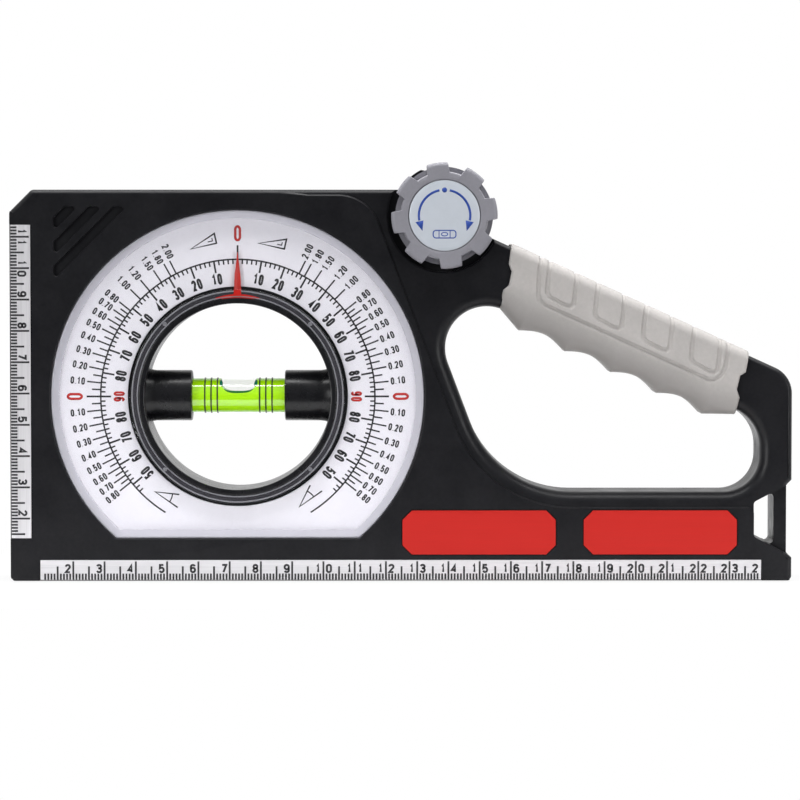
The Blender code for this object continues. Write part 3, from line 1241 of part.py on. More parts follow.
def notch_outline(turn):
    """The room of one finger notch at the knob's rim, wider at the rim than at its floor."""
    floor_half = math.radians(KNOB_NOTCH_FLOOR_ANGLE) / 2
    rim_half = math.radians(KNOB_NOTCH_RIM_ANGLE) / 2
    past = KNOB_RADIUS + OVERRUN
    places = [(KNOB_NOTCH_RADIUS, -floor_half), (KNOB_RADIUS, -rim_half), (past, -rim_half)]
    places += [(past, rim_half), (KNOB_RADIUS, rim_half), (KNOB_NOTCH_RADIUS, floor_half)]
    return [radius * plan_point(math.cos(turn + a), math.sin(turn + a)) for radius, a in places]


def make_knob(knob):
    """The knob with its notched rim, its label, the screw under the label and the washer behind."""
    flange_front = KNOB_BACK - KNOB_FLANGE_HEIGHT
    top = -KNOB_STAND
    bore = SHAFT_RADIUS + SEAT_GAP
    label_room = KNOB_LABEL_RADIUS + SEAT_GAP
    profile = at_depths(
        (KNOB_SCREW_RADIUS + SEAT_GAP, KNOB_WELL_FLOOR), (KNOB_WELL_RADIUS, KNOB_WELL_FLOOR),
        (KNOB_WELL_RADIUS, KNOB_LABEL_FLOOR), (label_room, KNOB_LABEL_FLOOR), (label_room, top),
        (KNOB_RADIUS - KNOB_BEVEL, top), (KNOB_RADIUS, top + KNOB_BEVEL), (KNOB_RADIUS, flange_front),
        (KNOB_FLANGE_RADIUS, flange_front), (KNOB_FLANGE_RADIUS, KNOB_BACK),
        (KNOB_SCREW_RADIUS + SEAT_GAP, KNOB_BACK))
    body = turned("knob", profile, KNOB_SEGMENTS, knob, "knob_grey")
    notches = bmesh.new()
    for i in range(KNOB_NOTCHES):
        turn = math.pi / 2 - math.radians(KNOB_NOTCH_TURN) - FULL_TURN * i / KNOB_NOTCHES
        add_prism(notches, notch_outline(turn), top - OVERRUN, flange_front)
    carve(body, add_object("knob_notches", notches, knob))
    flat = bore - SHAFT_FLAT_DROP
    socket = [plan_point(p.x, min(p.y, flat)) for p in circle(bore, SMALL_SEGMENTS)]
    carve(body, prism("knob_bore", socket, KNOB_BORE_TOP, KNOB_BACK + OVERRUN, knob))
    label = rod_profile(KNOB_LABEL_RADIUS, top, top + KNOB_LABEL_THICKNESS)
    turned("knob_label", label, KNOB_SEGMENTS, knob, "knob_label")
    seat = KNOB_WELL_FLOOR - SEAT_GAP
    screw = at_depths((0, seat - KNOB_SCREW_HEAD), (KNOB_SCREW_HEAD_RADIUS, seat - KNOB_SCREW_HEAD),
                      (KNOB_SCREW_HEAD_RADIUS, seat), (KNOB_SCREW_RADIUS, seat),
                      (KNOB_SCREW_RADIUS, seat + KNOB_SCREW_REACH), (0, seat + KNOB_SCREW_REACH))
    turned("knob_screw", screw, TINY_SEGMENTS, knob, "steel")


def make_washer(case):
    """The friction washer behind the knob, in its own recess in the knob pocket."""
    profile = tube_profile(SHAFT_RADIUS + RUN_GAP, WASHER_RADIUS, KNOB_FLOOR, KNOB_FLOOR + WASHER_THICKNESS)
    turned("knob_washer", profile, SMALL_SEGMENTS, case, "washer_rubber", KNOB_X, KNOB_Z)


def main():
    clear_scene()
    _, idler, _, _ = gear_train()
    case = add_axis("case_axis", -BODY_LENGTH / 2, 0)
    dial = add_axis("dial_axis", DIAL_X, DIAL_Z, case)
    ring = add_axis("ring_axis", DIAL_X, DIAL_Z, case)
    idler_axis = add_axis("idler_axis", idler.x, idler.y, case)
    knob = add_axis("knob_axis", KNOB_X, KNOB_Z, case)
    cutters = shared_cutters(case)
    make_front_shell(case, dial, cutters)
    make_rear_shell(case, dial, cutters)
    make_dial(dial)
    make_trim(case)
    make_fasteners(case)
    make_grip(case)
    make_vial_ring(ring)
    make_pointer(ring)
    make_vial(ring)
    make_idler(idler_axis)
    make_idler_pin(case)
    make_drive_pinion(knob)
    make_knob(knob)
    make_washer(case)


main()
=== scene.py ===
"""The looks of a slope ruler: a fine case, a printed dial, a geared level ring, a knob and a moulded grip.

Lengths are millimetres until a piece is made. A plan place is (x, z) from the body's lower left corner.
A depth runs back from the raised front face, and points of a surface are (x, depth, z).
"""

import math

import bmesh
import bpy
import numpy as np
from bpy.props import FloatProperty, FloatVectorProperty, PointerProperty
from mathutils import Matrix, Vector
from mathutils.geometry import tessellate_polygon


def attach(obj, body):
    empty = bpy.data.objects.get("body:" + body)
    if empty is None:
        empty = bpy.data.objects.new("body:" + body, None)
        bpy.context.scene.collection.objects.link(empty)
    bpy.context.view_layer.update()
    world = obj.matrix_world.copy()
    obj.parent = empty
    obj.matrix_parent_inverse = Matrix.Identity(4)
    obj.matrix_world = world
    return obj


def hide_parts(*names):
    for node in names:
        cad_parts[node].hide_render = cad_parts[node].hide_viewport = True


bl_info = {
    "name": "Slope ruler looks",
    "version": (1, 0, 0),
    "blender": (4, 5, 0),
    "location": "View3D > Sidebar > Slope ruler",
    "description": "Builds the finished surfaces of a slope ruler round its packed model",
    "category": "Object",
}

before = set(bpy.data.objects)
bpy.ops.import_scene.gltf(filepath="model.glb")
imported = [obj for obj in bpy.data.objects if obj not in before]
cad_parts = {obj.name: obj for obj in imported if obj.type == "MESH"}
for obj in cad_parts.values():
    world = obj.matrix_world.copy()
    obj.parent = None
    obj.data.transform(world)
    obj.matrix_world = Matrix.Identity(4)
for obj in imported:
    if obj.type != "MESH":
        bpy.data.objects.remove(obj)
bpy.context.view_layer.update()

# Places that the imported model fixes
MM = 0.001
CORNER = np.array([125.0, 13.0, 0.0])
FULL_TURN, QUARTER = 2 * math.pi, math.pi / 2
LENGTH, HEIGHT, DEPTH = 250.0, 125.0, 26.0
MIDDLE = 13.0
FRONT_BACK, COVER_FRONT, SEAM = 14.97, 15.03, 0.12
STEP = 0.8
DIAL = np.array([72.6, 58.9])
DIAL_RADIUS, DIAL_CHORD, DIAL_GAP = 59.7, 45.3, 0.15
PLATE_FRONT, PLATE_BACK = 3.5, 4.3
KNOB = np.array([138.6, 116.7])
IDLER = np.array([121.673286, 94.710261])
CHAMBERS = ((DIAL, 47.125), (IDLER, 17.875), (KNOB, 14.125))
CHAMBER_FRONT, CHAMBER_BACK = 7.0, 23.6
GRIP = np.array([160.9, 107.6])
SLOPE = math.radians(24.5)
ALONG = np.array([math.cos(SLOPE), -math.sin(SLOPE)])
UPWARD = np.array([math.sin(SLOPE), math.cos(SLOPE)])
GRIP_LENGTH = (LENGTH - 14.6 - GRIP[0]) / math.cos(SLOPE)
GRIP_DROP, GRIP_END = 22.2, 14.6
GRIP_DROPS = GRIP_DROP * np.array([0, 0.29, 0.37, 0.57, 0.66, 0.92])
GRIP_LEFT = GRIP_END * np.array([0, 0.137, 0.26, 0.33, 0.26, 0.32])
GRIP_RIGHT = GRIP_LENGTH + GRIP_END * np.array([0, 0.11, 0.03, 0.09, 0.22, 0.32])
FIRST_CUSP, LAST_CUSP = 13.0, GRIP_LENGTH - 4.4
FLOOR, OPENING_LEFT, OPENING_LEAN = 28.3, DIAL[0] + DIAL_RADIUS + 23.2, math.radians(20.7)
CREASE_GAP = 4.7
SCREWS = ((126, 6.2), (163.3, 6.2), (200.7, 6.2), (238, 6.2), (12.5, 12.5), (12.5, 112.5),
          (102.8, 116.7), (151.2, 100.8), (244.9, 41.7))
GRIP_SCREWS = [GRIP + ALONG * run - UPWARD * 10.2 for run in (13.0, 40.935, 68.87)]
MAGNETS = (32.0, 94.0, 156.0, 218.0)
NAME_PLATES = (125.3, 183.3)
STRIP_EDGE, STRIP_WIDTH, STRIP_FRONT = 0.35, 6.3, -0.1
PRINT_GAP = 0.03
FRONT_HOLE, PLATE_HOLE, COVER_HOLE, BACK_HOLE = 34.6, 35.2, 34.2, 32.5
SCREW_HOLE, PIN_HOLE, KNOB_HOLE = 1.6, 2.8, 3.6
MAGNET_RADIUS, MAGNET_TOP = 5.3, 3.6


# ---- Sizes and colours that a user may change

def length(name, description, millimetres):
    """A length property, given in millimetres and kept in metres."""
    return FloatProperty(name=name, description=description, default=millimetres * MM, min=0.0,
                         precision=5, subtype="DISTANCE", unit="LENGTH")


def linear(*screen):
    """A colour read off a screen (0 to 255), as the linear values that shaders take."""
    shares = np.array(screen) / 255
    return tuple(np.where(shares <= 0.04045, shares / 12.92, ((shares + 0.055) / 1.055) ** 2.4).tolist())


def tint(name, description, *screen):
    """A colour property, given as a screen colour."""
    return FloatVectorProperty(name=name, description=description, default=linear(*screen), size=3,
                               min=0.0, max=1.0, subtype="COLOR")


class RulerSizes(bpy.types.PropertyGroup):
    """Sizes of the finish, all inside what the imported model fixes."""
    edge_round: length("Case edge round", "Radius of the case's outer edges", 1.4)
    opening_round: length("Hand opening round", "Radius of the hand opening's rims", 3.8)
    ink_height: length("Ink height", "How far print stands off its surface", 0.02)
    tick_width: length("Dial tick width", "Width of the dial's fine marks", 0.48)
    strip_line: length("Strip line width", "Width of the scale strips' marks", 0.6)
    channel_depth: length("Grip channel depth", "Depth of the channels in the grip", 0.6)
    channel_width: length("Grip channel width", "Width of the channels in the grip", 1.7)
    grip_round: length("Grip edge round", "Radius of the grip's upper edges", 3.2)
    bubble_length: length("Bubble length", "Length of the air bubble in the level", 11.3)
    bubble_depth: length("Bubble depth", "Height of the air bubble in the level", 4.2)
    fluid_radius: length("Level fluid radius", "Radius of the fluid in the level", 5.45)


class RulerColours(bpy.types.PropertyGroup):
    """Colours of the finishes."""
    case: tint("Case", "Dark moulded plastic of the case", 21, 21, 24)
    dial: tint("Dial", "Printed plate under the clear cover", 234, 232, 239)
    ink: tint("Ink", "Black print", 26, 26, 30)
    red: tint("Red", "Red print, pointer and name plates", 184, 30, 23)
    blue: tint("Blue", "Blue print on the knob", 10, 60, 150)
    strip: tint("Scale strip", "Brushed metal of the scale strips", 222, 220, 223)
    grip: tint("Grip", "Soft grey of the grip", 176, 172, 169)
    knob: tint("Knob", "Grey of the knob", 134, 133, 140)
    label: tint("Knob label", "Pale face of the knob", 200, 206, 214)
    fluid: tint("Level fluid", "Yellow green of the level", 170, 230, 12)
    ring: tint("Level ring", "Gloss black of the ring that carries the level", 15, 15, 18)


def sizes():
    return bpy.context.scene.ruler_sizes


def colours():
    return bpy.context.scene.ruler_colours


# ---- Plan outlines, as arrays of (x, z)

def arc(centre, radius, start, end, step):
    """Centre plus radius, or a pair of radii, times (cosine, sine) of angles about a step of degrees apart."""
    angles = np.linspace(start, end, max(2, math.ceil(abs(math.degrees(end - start)) / step)) + 1)
    return np.asarray(centre) + np.asarray(radius) * np.stack([np.cos(angles), np.sin(angles)], axis=1)


def circle(centre, radius, count=128):
    return arc(centre, radius, 0, FULL_TURN, 360 / count)[:-1]


def bearing(angle):
    """The direction at an angle clockwise from straight up, in degrees."""
    return np.stack([np.sin(np.radians(angle)), np.cos(np.radians(angle))], axis=-1)


def right_of(way):
    """A plan direction turned clockwise by a quarter turn."""
    return np.array([way[1], -way[0]])


def unit(vectors):
    """Vectors divided by their lengths."""
    return vectors / np.linalg.norm(vectors, axis=-1, keepdims=True)


def rounded(*corners, step=6.0):
    """A closed outline from (x, z, radius) corners, each an arc tangent to both of its sides.

    The arc's centre lies on the corner's bisector, a radius over the sine of half its angle away.
    """
    points = np.array([corner[:2] for corner in corners], float)
    outline = []
    for i, (*_, radius) in enumerate(corners):
        before, after = points[i - 1] - points[i], points[(i + 1) % len(points)] - points[i]
        spare = min(np.linalg.norm(before), np.linalg.norm(after)) / 2
        before, after = unit(before), unit(after)
        half = math.acos(np.clip(before @ after, -1, 1)) / 2
        radius = min(radius, spare * math.tan(half))
        if radius < 1e-6:
            outline.append(points[i:i + 1])
            continue
        centre = points[i] + unit(before + after) * radius / math.sin(half)
        first, last = (points[i] + way * radius / math.tan(half) - centre for way in (before, after))
        start = math.atan2(first[1], first[0])
        sweep = math.atan2(first[0] * last[1] - first[1] * last[0], first @ last)
        outline.append(arc(centre, radius, start, start + sweep, step))
    outline = np.concatenate(outline)
    return outline[np.linalg.norm(outline - np.roll(outline, 1, axis=0), axis=1) > 1e-4]


def meet(point_a, direction_a, point_b, direction_b):
    """Where two plan lines cross, by the ratio of two cross products."""
    gap = np.asarray(point_b, float) - point_a
    across = direction_a[0] * direction_b[1] - direction_a[1] * direction_b[0]
    return point_a + np.asarray(direction_a) * (gap[0] * direction_b[1] - gap[1] * direction_b[0]) / across


def grown(outline, growth):
    """A counter-clockwise outline moved outwards by a growth, one value or one for each point.

    Each point moves along the mean of its sides' normals, by growth over the cosine to either side.
    """
    into = unit(outline - np.roll(outline, 1, axis=0))
    away = np.roll(into, -1, axis=0)
    side = np.stack([into[:, 1], -into[:, 0]], axis=1)
    mitre = unit(side + np.stack([away[:, 1], -away[:, 0]], axis=1))
    cosine = np.maximum((mitre * side).sum(axis=1), 0.3)
    return outline + mitre * (growth / cosine)[:, None]


def placed(points, place, across, up):
    """Plan points given across and up from a place."""
    points = np.array(points, float)
    return place + points[:, :1] * across + points[:, 1:] * up


def on_grip(along, drop):
    """A plan point by its run along the handle and its drop below the grip's upper edge."""
    along, drop = np.broadcast_arrays(np.asarray(along, float), drop)
    return GRIP + ALONG * along[..., None] - UPWARD * drop[..., None]


def round_edge(depth, radius, way, count):
    """Pairs of depth and growth down a quarter circle that starts square to a face.

    Depth runs by radius times one minus cosine, and growth by radius times one minus sine.
    """
    turns = np.linspace(0, QUARTER, count + 1)
    return list(zip(depth + radius * (1 - np.cos(turns)), way * radius * (1 - np.sin(turns))))


def soft_inset(depth, radius):
    """How far a softened chamfer stands back from its outline, at a depth: part arc and part straight."""
    left = max(radius - depth, 0.0)
    return -0.7 * (radius - math.sqrt(radius**2 - left**2)) - 0.3 * left


def soft_edge(radius):
    """Pairs of depth and growth down a softened chamfer, from its face to its full outline."""
    runs = [radius * (1 - math.cos(math.radians(angle))) for angle in (0, 14, 28, 42, 56, 70, 80, 90)]
    return [(run, soft_inset(run, radius)) for run in runs]


LOWER_RIGHT = ((0, 0, 1.5), (LENGTH, 0, 1.5), (LENGTH, 7.3, 0.4), (248.6, 8.7, 0.4))
UPPER_LEFT = ((7, HEIGHT, 1.8), (0, HEIGHT - 7, 1.8))


def body_outline():
    """The case from the front: ruler body, knob lobe, sloping handle and right bow."""
    handle_top = on_grip(0, 1.2)
    rise = (handle_top - KNOB) @ UPWARD
    start = UPWARD * rise + ALONG * math.sqrt(16.4**2 - rise**2)
    lobe = np.concatenate([arc(KNOB, 15.5, math.atan2(start[1], start[0]), math.radians(112), 4.0),
                           arc(KNOB, 16.4, math.radians(117), math.pi - math.asin(8.3 / 16.4), 4.0)])
    bow = meet(handle_top, ALONG, (LENGTH, 0), (0, 1))
    return rounded(*LOWER_RIGHT, (248.6, 30.8, 0.4), (LENGTH, 32.2, 0.4), (*bow, 9.0),
                   *[(x, z, 0) for x, z in lobe], *UPPER_LEFT)


OPENING_SIDE = np.array([-math.sin(OPENING_LEAN), math.cos(OPENING_LEAN)])


def opening_outline():
    """The hand opening: leaning left side, flat floor and the handle's sloping underside."""
    foot = (OPENING_LEFT, FLOOR)
    under_nose = on_grip(0, 20.6)
    underside = on_grip(GRIP_LENGTH, 18.7) - under_nose
    upper_end = meet(under_nose, underside, (239.8, FLOOR), (0, 1))
    nose = meet(np.array(foot), OPENING_SIDE, under_nose, underside)
    return rounded((*foot, 34.8), (239.8, FLOOR, 13.4), (*upper_end, 13.4), (*nose, 13.3), step=4.0)


def raised_outline():
    """The front area left of the crease and along the base, which stands a step higher."""
    low, high = FLOOR - CREASE_GAP, HEIGHT - 1.5
    foot = meet((OPENING_LEFT - CREASE_GAP / math.cos(OPENING_LEAN), FLOOR), OPENING_SIDE, (0, low), (1, 0))
    shoulder = meet(foot, OPENING_SIDE, (0, high), (1, 0))
    return rounded(*LOWER_RIGHT, (248.6, 10.2, 0), (240.4, 15.0, 0), (238.4, 17.0, 0), (238.4, low, 5.8),
                   (*foot, 39.5), (*shoulder, 26.0), (95.0, high, 4.0), (86.0, HEIGHT, 0), *UPPER_LEFT, step=4.0)


def dial_outline(inset):
    """The dial's D: a circle cut by a level chord, drawn in by an inset."""
    half = math.acos((DIAL_CHORD - inset) / (DIAL_RADIUS - inset))
    start = -QUARTER + half
    return arc(DIAL, DIAL_RADIUS - inset, start, start + FULL_TURN - 2 * half, 2.0)


def box_outline(left, bottom, right, top, radius=0.0):
    """A rectangle, counter-clockwise, with its corners turned to a radius."""
    return rounded(*[(x, z, radius) for x, z in ((left, bottom), (right, bottom), (right, top), (left, top))])


def plate_outline(left, grow):
    """A name plate 49 by 14.1 with cut corners, by its left edge, and grown all round."""
    right, low, high, cut = left + 49.0, 8.4, 22.5, 3.0
    corners = [(left + cut, low), (right - cut, low), (right, low + cut), (right, high - cut),
               (right - cut, high), (left + cut, high), (left, high - cut), (left, low + cut)]
    return grown(np.array(corners), grow)


def groove_outline(index):
    """A slanting slot in the upper left corner, between two parallels at 45 degrees."""
    near = 5.6 + 7.76 * index - 2.15
    far, top, left = near + 4.3, 119.6, 14.1
    return rounded(*[(x, z, 0.8) for x, z in ((left, top - far), (left + far, top), (left + near, top),
                                              (left, top - near))], step=15.0)


# The lanyard slot, narrower at its left side by slanting ends, and the part of the right bow whose faces lie lower
SLOT = rounded((237.8, 14.0, 1.4), (244.5, 10.6, 1.4), (244.5, 28.6, 1.4), (237.8, 25.1, 1.4))
LOW_BOW = rounded((239.2, 13.7, 1.0), (252, 6.4, 0), (252, 32.7, 0), (239.2, 25.3, 1.0))


# ---- Surfaces

def level(outline, depth):
    """A plan outline set at a depth."""
    return np.stack([outline[..., 0], np.broadcast_to(depth, outline.shape[:-1]), outline[..., 1]], axis=-1)


def spin(count):
    """The cosines and the sines of evenly spaced angles round a full turn."""
    angles = np.linspace(0, FULL_TURN, count, endpoint=False)
    return np.cos(angles), np.sin(angles)


class Shape:
    """Points and faces of one piece, gathered surface by surface."""

    def __init__(self):
        self.points, self.faces, self.count = [], [], 0

    def add(self, points, faces):
        self.points.append(points)
        self.faces += (np.asarray(faces) + self.count).tolist()
        self.count += len(points)
        return self

    def sheet(self, x, depth, z, around=True, along=False, capped=False):
        """A grid as quads: around joins each row's ends, along the last row to the first, capped closes both."""
        grid = np.stack(np.broadcast_arrays(x, depth, z), axis=-1)
        rows, columns = grid.shape[:2]
        index = np.arange(rows * columns).reshape(rows, columns)
        if around:
            index = np.concatenate([index, index[:, :1]], axis=1)
        if along:
            index = np.concatenate([index, index[:1]], axis=0)
        quads = np.stack([index[:-1, :-1], index[:-1, 1:], index[1:, 1:], index[1:, :-1]], axis=-1)
        self.add(grid.reshape(-1, 3), quads.reshape(-1, 4))
        for row in (0, -1) if capped else ():
            self.lid(grid[row])
        return self

    def lid(self, *loops):
        """A flat face inside the first loop and outside the others."""
        triangles = tessellate_polygon([[Vector(point) for point in loop] for loop in loops])
        return self.add(np.concatenate(loops), triangles)

    def carried(self, *loops):
        """An outside, then any holes, carried back through (depth, growth) levels and closed by flat ends."""
        ends = [[], []]
        for outline, levels in loops:
            plans = np.stack([grown(outline, growth) for _, growth in levels])
            depths = np.array([depth for depth, _ in levels], float)
            self.sheet(plans[..., 0], depths[:, None], plans[..., 1])
            for end, row in zip(ends, (0, -1)):
                end.append(level(plans[row], depths[row]))
        for end in ends:
            self.lid(*end)
        return self

    def prism(self, outline, front, back):
        return self.carried((outline, [(front, 0.0), (back, 0.0)]))

    def turned(self, profile, centre, count=128, closed=False):
        """A (radius, depth) profile turned about an axis that runs back: place plus radius times (cosine, sine)."""
        radii, depths = np.array(profile, float).T[..., None]
        cosines, sines = spin(count)
        return self.sheet(centre[0] + radii * cosines, depths, centre[1] + radii * sines, along=closed)

    def rod(self, radius, front, back, centre, count=128):
        """A plain round rod about an axis that runs back."""
        return self.turned([(0, front), (radius, front), (radius, back), (0, back)], centre, count)

    def across(self, profile, centre, count):
        """A closed (radius, run) profile turned about a level axis that runs right through a plan place."""
        radii, runs = np.array(profile, float).T[..., None]
        cosines, sines = spin(count)
        return self.sheet(centre[0] + runs, MIDDLE - radii * cosines, centre[1] + radii * sines, along=True)

    def marks(self, starts, ends, width, depth):
        """Straight marks of one width between pairs of plan points."""
        side = unit(ends - starts)[:, ::-1] * (-width / 2, width / 2)
        corners = np.stack([starts + side, starts - side, ends - side, ends + side], axis=1)
        return self.add(level(corners.reshape(-1, 2), depth), np.arange(len(corners) * 4).reshape(-1, 4))

    def ribbon(self, line, width, depth, closed=False):
        """A line drawn with a pen: each edge lies half a width from it, along the mitre at each point."""
        steps = unit(np.roll(line, -1, axis=0) - line if closed else np.diff(line, axis=0))
        before = np.roll(steps, 1, axis=0) if closed else np.concatenate([steps[:1], steps])
        after = steps if closed else np.concatenate([steps, steps[-1:]])
        side = unit(before + after)[:, ::-1] * (-1, 1)
        cosine = np.maximum((side * (after[:, ::-1] * (-1, 1))).sum(axis=1), 0.5)
        reach = side * (width / 2 / cosine)[:, None]
        edges = np.stack([line + reach, line - reach], axis=1)
        return self.sheet(edges[..., 0], depth, edges[..., 1], around=False, along=closed)


def reworked(mesh, work):
    """Opens a mesh for editing, does the work on it and puts it back."""
    solid = bmesh.new()
    solid.from_mesh(mesh)
    work(solid)
    solid.to_mesh(mesh)
    solid.free()


def turn_forward(solid):
    """Print faces the front."""
    solid.normal_update()
    bmesh.ops.reverse_faces(solid, faces=[face for face in solid.faces if face.normal.y > 0])


def turn_outward(solid):
    bmesh.ops.remove_doubles(solid, verts=solid.verts, dist=1e-7)
    bmesh.ops.recalc_face_normals(solid, faces=solid.faces)


def close_up(solid):
    """Merges the doubled points that a cut leaves and fills any sliver that it left open."""
    bmesh.ops.remove_doubles(solid, verts=solid.verts, dist=1e-6)
    bmesh.ops.dissolve_degenerate(solid, edges=solid.edges, dist=1e-7)
    bmesh.ops.holes_fill(solid, edges=solid.edges, sides=24)


def add_object(name, shape, work=turn_outward):
    """Makes a shape an object in metres, whose faces the work turns the right way."""
    mesh = bpy.data.meshes.new(name)
    mesh.from_pydata(((np.concatenate(shape.points) - CORNER) * MM).tolist(), [], shape.faces)
    reworked(mesh, work)
    piece = bpy.data.objects.new(name, mesh)
    bpy.context.scene.collection.objects.link(piece)
    return piece


def joined(piece, tools, operation="DIFFERENCE"):
    """Cuts shapes from a piece one after another, or unites them with it, and keeps the result's mesh."""
    tools = [add_object("tool", shape) for shape in tools]
    for tool in tools:
        change = piece.modifiers.new("change", "BOOLEAN")
        change.operation, change.solver, change.object = operation, "EXACT", tool
    result = bpy.data.meshes.new_from_object(piece.evaluated_get(bpy.context.evaluated_depsgraph_get()))
    piece.modifiers.clear()
    old, piece.data = piece.data, result
    result.name = piece.name
    for mesh in [old, *[tool.data for tool in tools]]:
        bpy.data.meshes.remove(mesh)
    reworked(result, close_up)
    return piece


def dressed(piece, look, body="case", replaces=(), sharp=30.0, even=False):
    """Gives a piece its finish, smooth shading and body, and hides the nodes that it stands for.

    Even shading lets the large faces lead, so that flats stay flat beside rounds.
    """
    piece.data.materials.clear()
    piece.data.materials.append(finish(look))
    piece.data.shade_smooth()
    piece.data.set_sharp_from_angle(angle=math.radians(sharp))
    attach(piece, body)
    if replaces:
        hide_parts(*replaces)
    if even:
        change = piece.modifiers.new("even normals", "WEIGHTED_NORMAL")
        change.keep_sharp, change.weight = True, 80
    return piece


def inked(name, shape, look, body="case"):
    """Flat print, given the height of the ink by a Solidify modifier."""
    piece = dressed(add_object(name, shape, turn_forward), look, body)
    ink = piece.modifiers.new("ink", "SOLIDIFY")
    ink.thickness, ink.offset = sizes().ink_height, -1.0


# ---- Materials

def maths(operation, swapped=False):
    """An operator that adds a Math node for a field and another value."""
    def apply(field, other):
        pair = (other, field) if swapped else (field, other)
        return field.recipe.node("Math", dict(enumerate(pair)), operation=operation)
    return apply


class Field:
    """One value in a material's nodes. Arithmetic on fields adds Math nodes."""

    def __init__(self, recipe, socket):
        self.recipe, self.socket = recipe, socket

    __add__, __radd__ = maths("ADD"), maths("ADD", swapped=True)
    __sub__, __rsub__ = maths("SUBTRACT"), maths("SUBTRACT", swapped=True)
    __mul__, __rmul__ = maths("MULTIPLY"), maths("MULTIPLY", swapped=True)
    __pow__, __gt__ = maths("POWER"), maths("GREATER_THAN")


class Recipe:
    """A node tree and the means to add to it. The tree is a material's, or a world's."""

    def __init__(self, owner):
        owner.use_nodes = True
        self.owner, self.tree = owner, owner.node_tree

    def put(self, socket, value):
        """Sets a constant on a socket, or links a field to it."""
        if isinstance(value, Field):
            self.tree.links.new(value.socket, socket)
        elif socket.type == "RGBA" and len(value) == 3:
            socket.default_value = (*value, 1.0)
        else:
            socket.default_value = value

    def node(self, kind, inputs=None, output=0, **settings):
        """Adds a node by its type, its settings first, then its sockets' values or links."""
        node = self.tree.nodes.new("ShaderNode" + kind)
        for name, value in settings.items():
            setattr(node, name, value)
        for name, value in (inputs or {}).items():
            self.put(node.inputs[name], value)
        return Field(self, node.outputs[output])

    def place(self, stretch=(1.0, 1.0, 1.0)):
        """Object coordinates, each axis times its stretch."""
        return self.node("Mapping", {"Vector": self.node("TexCoord", output="Object"), "Scale": stretch})

    def noise(self, scale, detail=3.0, stretch=(1.0, 1.0, 1.0)):
        """Fractal noise about one half, with so many features to the metre."""
        return self.node("TexNoise", {"Vector": self.place(stretch), "Scale": scale, "Detail": detail,
                                      "Roughness": 0.55})

    def spread(self, field, low, high, to_low=0.0, to_high=1.0):
        """A field's range drawn out to another range, and held inside it."""
        return self.node("MapRange", {0: field, 1: low, 2: high, 3: to_low, 4: to_high}, clamp=True)

    def blend(self, share, first, second):
        """A colour between two, by a share from 0 to 1."""
        return self.node("Mix", {0: share, 6: first, 7: second}, output=2, data_type="RGBA")

    def bump(self, height, strength, distance):
        """A surface normal tipped by a height field, whose full height is the distance in millimetres."""
        return self.node("Bump", {"Height": height, "Strength": strength, "Distance": distance * MM})

    def facing(self, blend):
        """0 where the surface is seen square on, and 1 at its rim."""
        return self.node("LayerWeight", {"Blend": blend}, output="Facing")

    def seen_by(self, *kinds):
        """1 for rays of one or two kinds."""
        rays = [self.node("LightPath", output=f"Is {kind} Ray") for kind in kinds]
        return rays[0] + rays[1] if rays[1:] else rays[0]


def shade(colour, gain, lift=0.0):
    """A colour times a gain, moved towards white by a lift."""
    return tuple(min(1.0, value * gain + (1 - value) * lift) for value in colour)


def surface(**sockets):
    """A material whose Principled sockets take constants, or functions that give fields."""
    recipe = Recipe(bpy.data.materials.new("finish"))
    shader = recipe.tree.nodes["Principled BSDF"]
    for title, value in sockets.items():
        recipe.put(shader.inputs[title.replace("_", " ")], value(recipe) if callable(value) else value)
    return recipe.owner


def moulded(base, rough=(0.42, 0.54), grain=2400.0, strength=0.25, height=0.05, contrast=0.12, worn=None, **more):
    """Moulded plastic: fine spark grain in its relief, faint clouds in its colour and gloss, and any painted shade."""
    def colour(r):
        share = r.spread(r.noise(70.0, 4.0) * 0.6 + r.noise(900.0) * 0.4, 0.35, 0.65)
        clouded = r.blend(share, shade(base, 1 - contrast), shade(base, 1 + contrast, contrast * 0.03))
        return worn(r, clouded) if worn else clouded

    return surface(Base_Color=colour, Roughness=lambda r: r.spread(r.noise(160.0, 5.0), 0.35, 0.65, *rough),
                   Normal=lambda r: r.bump(r.noise(grain, 2.0), strength, height), **more)


def brushed(base, stretch, metallic, rough=(0.3, 0.48), contrast=0.12, **more):
    """Brushed metal: noise drawn out along the brushing, in its colour, gloss and relief."""
    def streaks(r):
        fine, broad = r.noise(1.0, 3.0, stretch), r.noise(0.22, 2.0, stretch)
        return r.spread(fine * 0.65 + broad * 0.35, 0.32, 0.68)

    return surface(
        Base_Color=lambda r: r.blend(streaks(r), shade(base, 1 - contrast), shade(base, 1 + contrast * 0.4)),
        Roughness=lambda r: r.spread(streaks(r), 0, 1, *rough), Metallic=metallic,
        Normal=lambda r: r.bump(streaks(r), 0.2, 0.01), **more)


def clear(base, alpha, rim, rough=(0.03, 0.09), metallic=0.0):
    """Clear plastic: nearly see-through square on and denser at its rim, with faint smears in its gloss.

    Where only its gloss is seen, its cover is the share of light that it reflects, and it is metallic, so that
    this share is whole.
    """
    return surface(
        Base_Color=lambda r: r.blend(r.noise(60.0), shade(base, 0.95), base),
        Alpha=lambda r: alpha + (rim - alpha) * r.facing(0.35) ** 2.0, IOR=1.49, Metallic=metallic,
        Roughness=lambda r: r.spread(r.noise(110.0, 4.0), 0.35, 0.65, *rough))


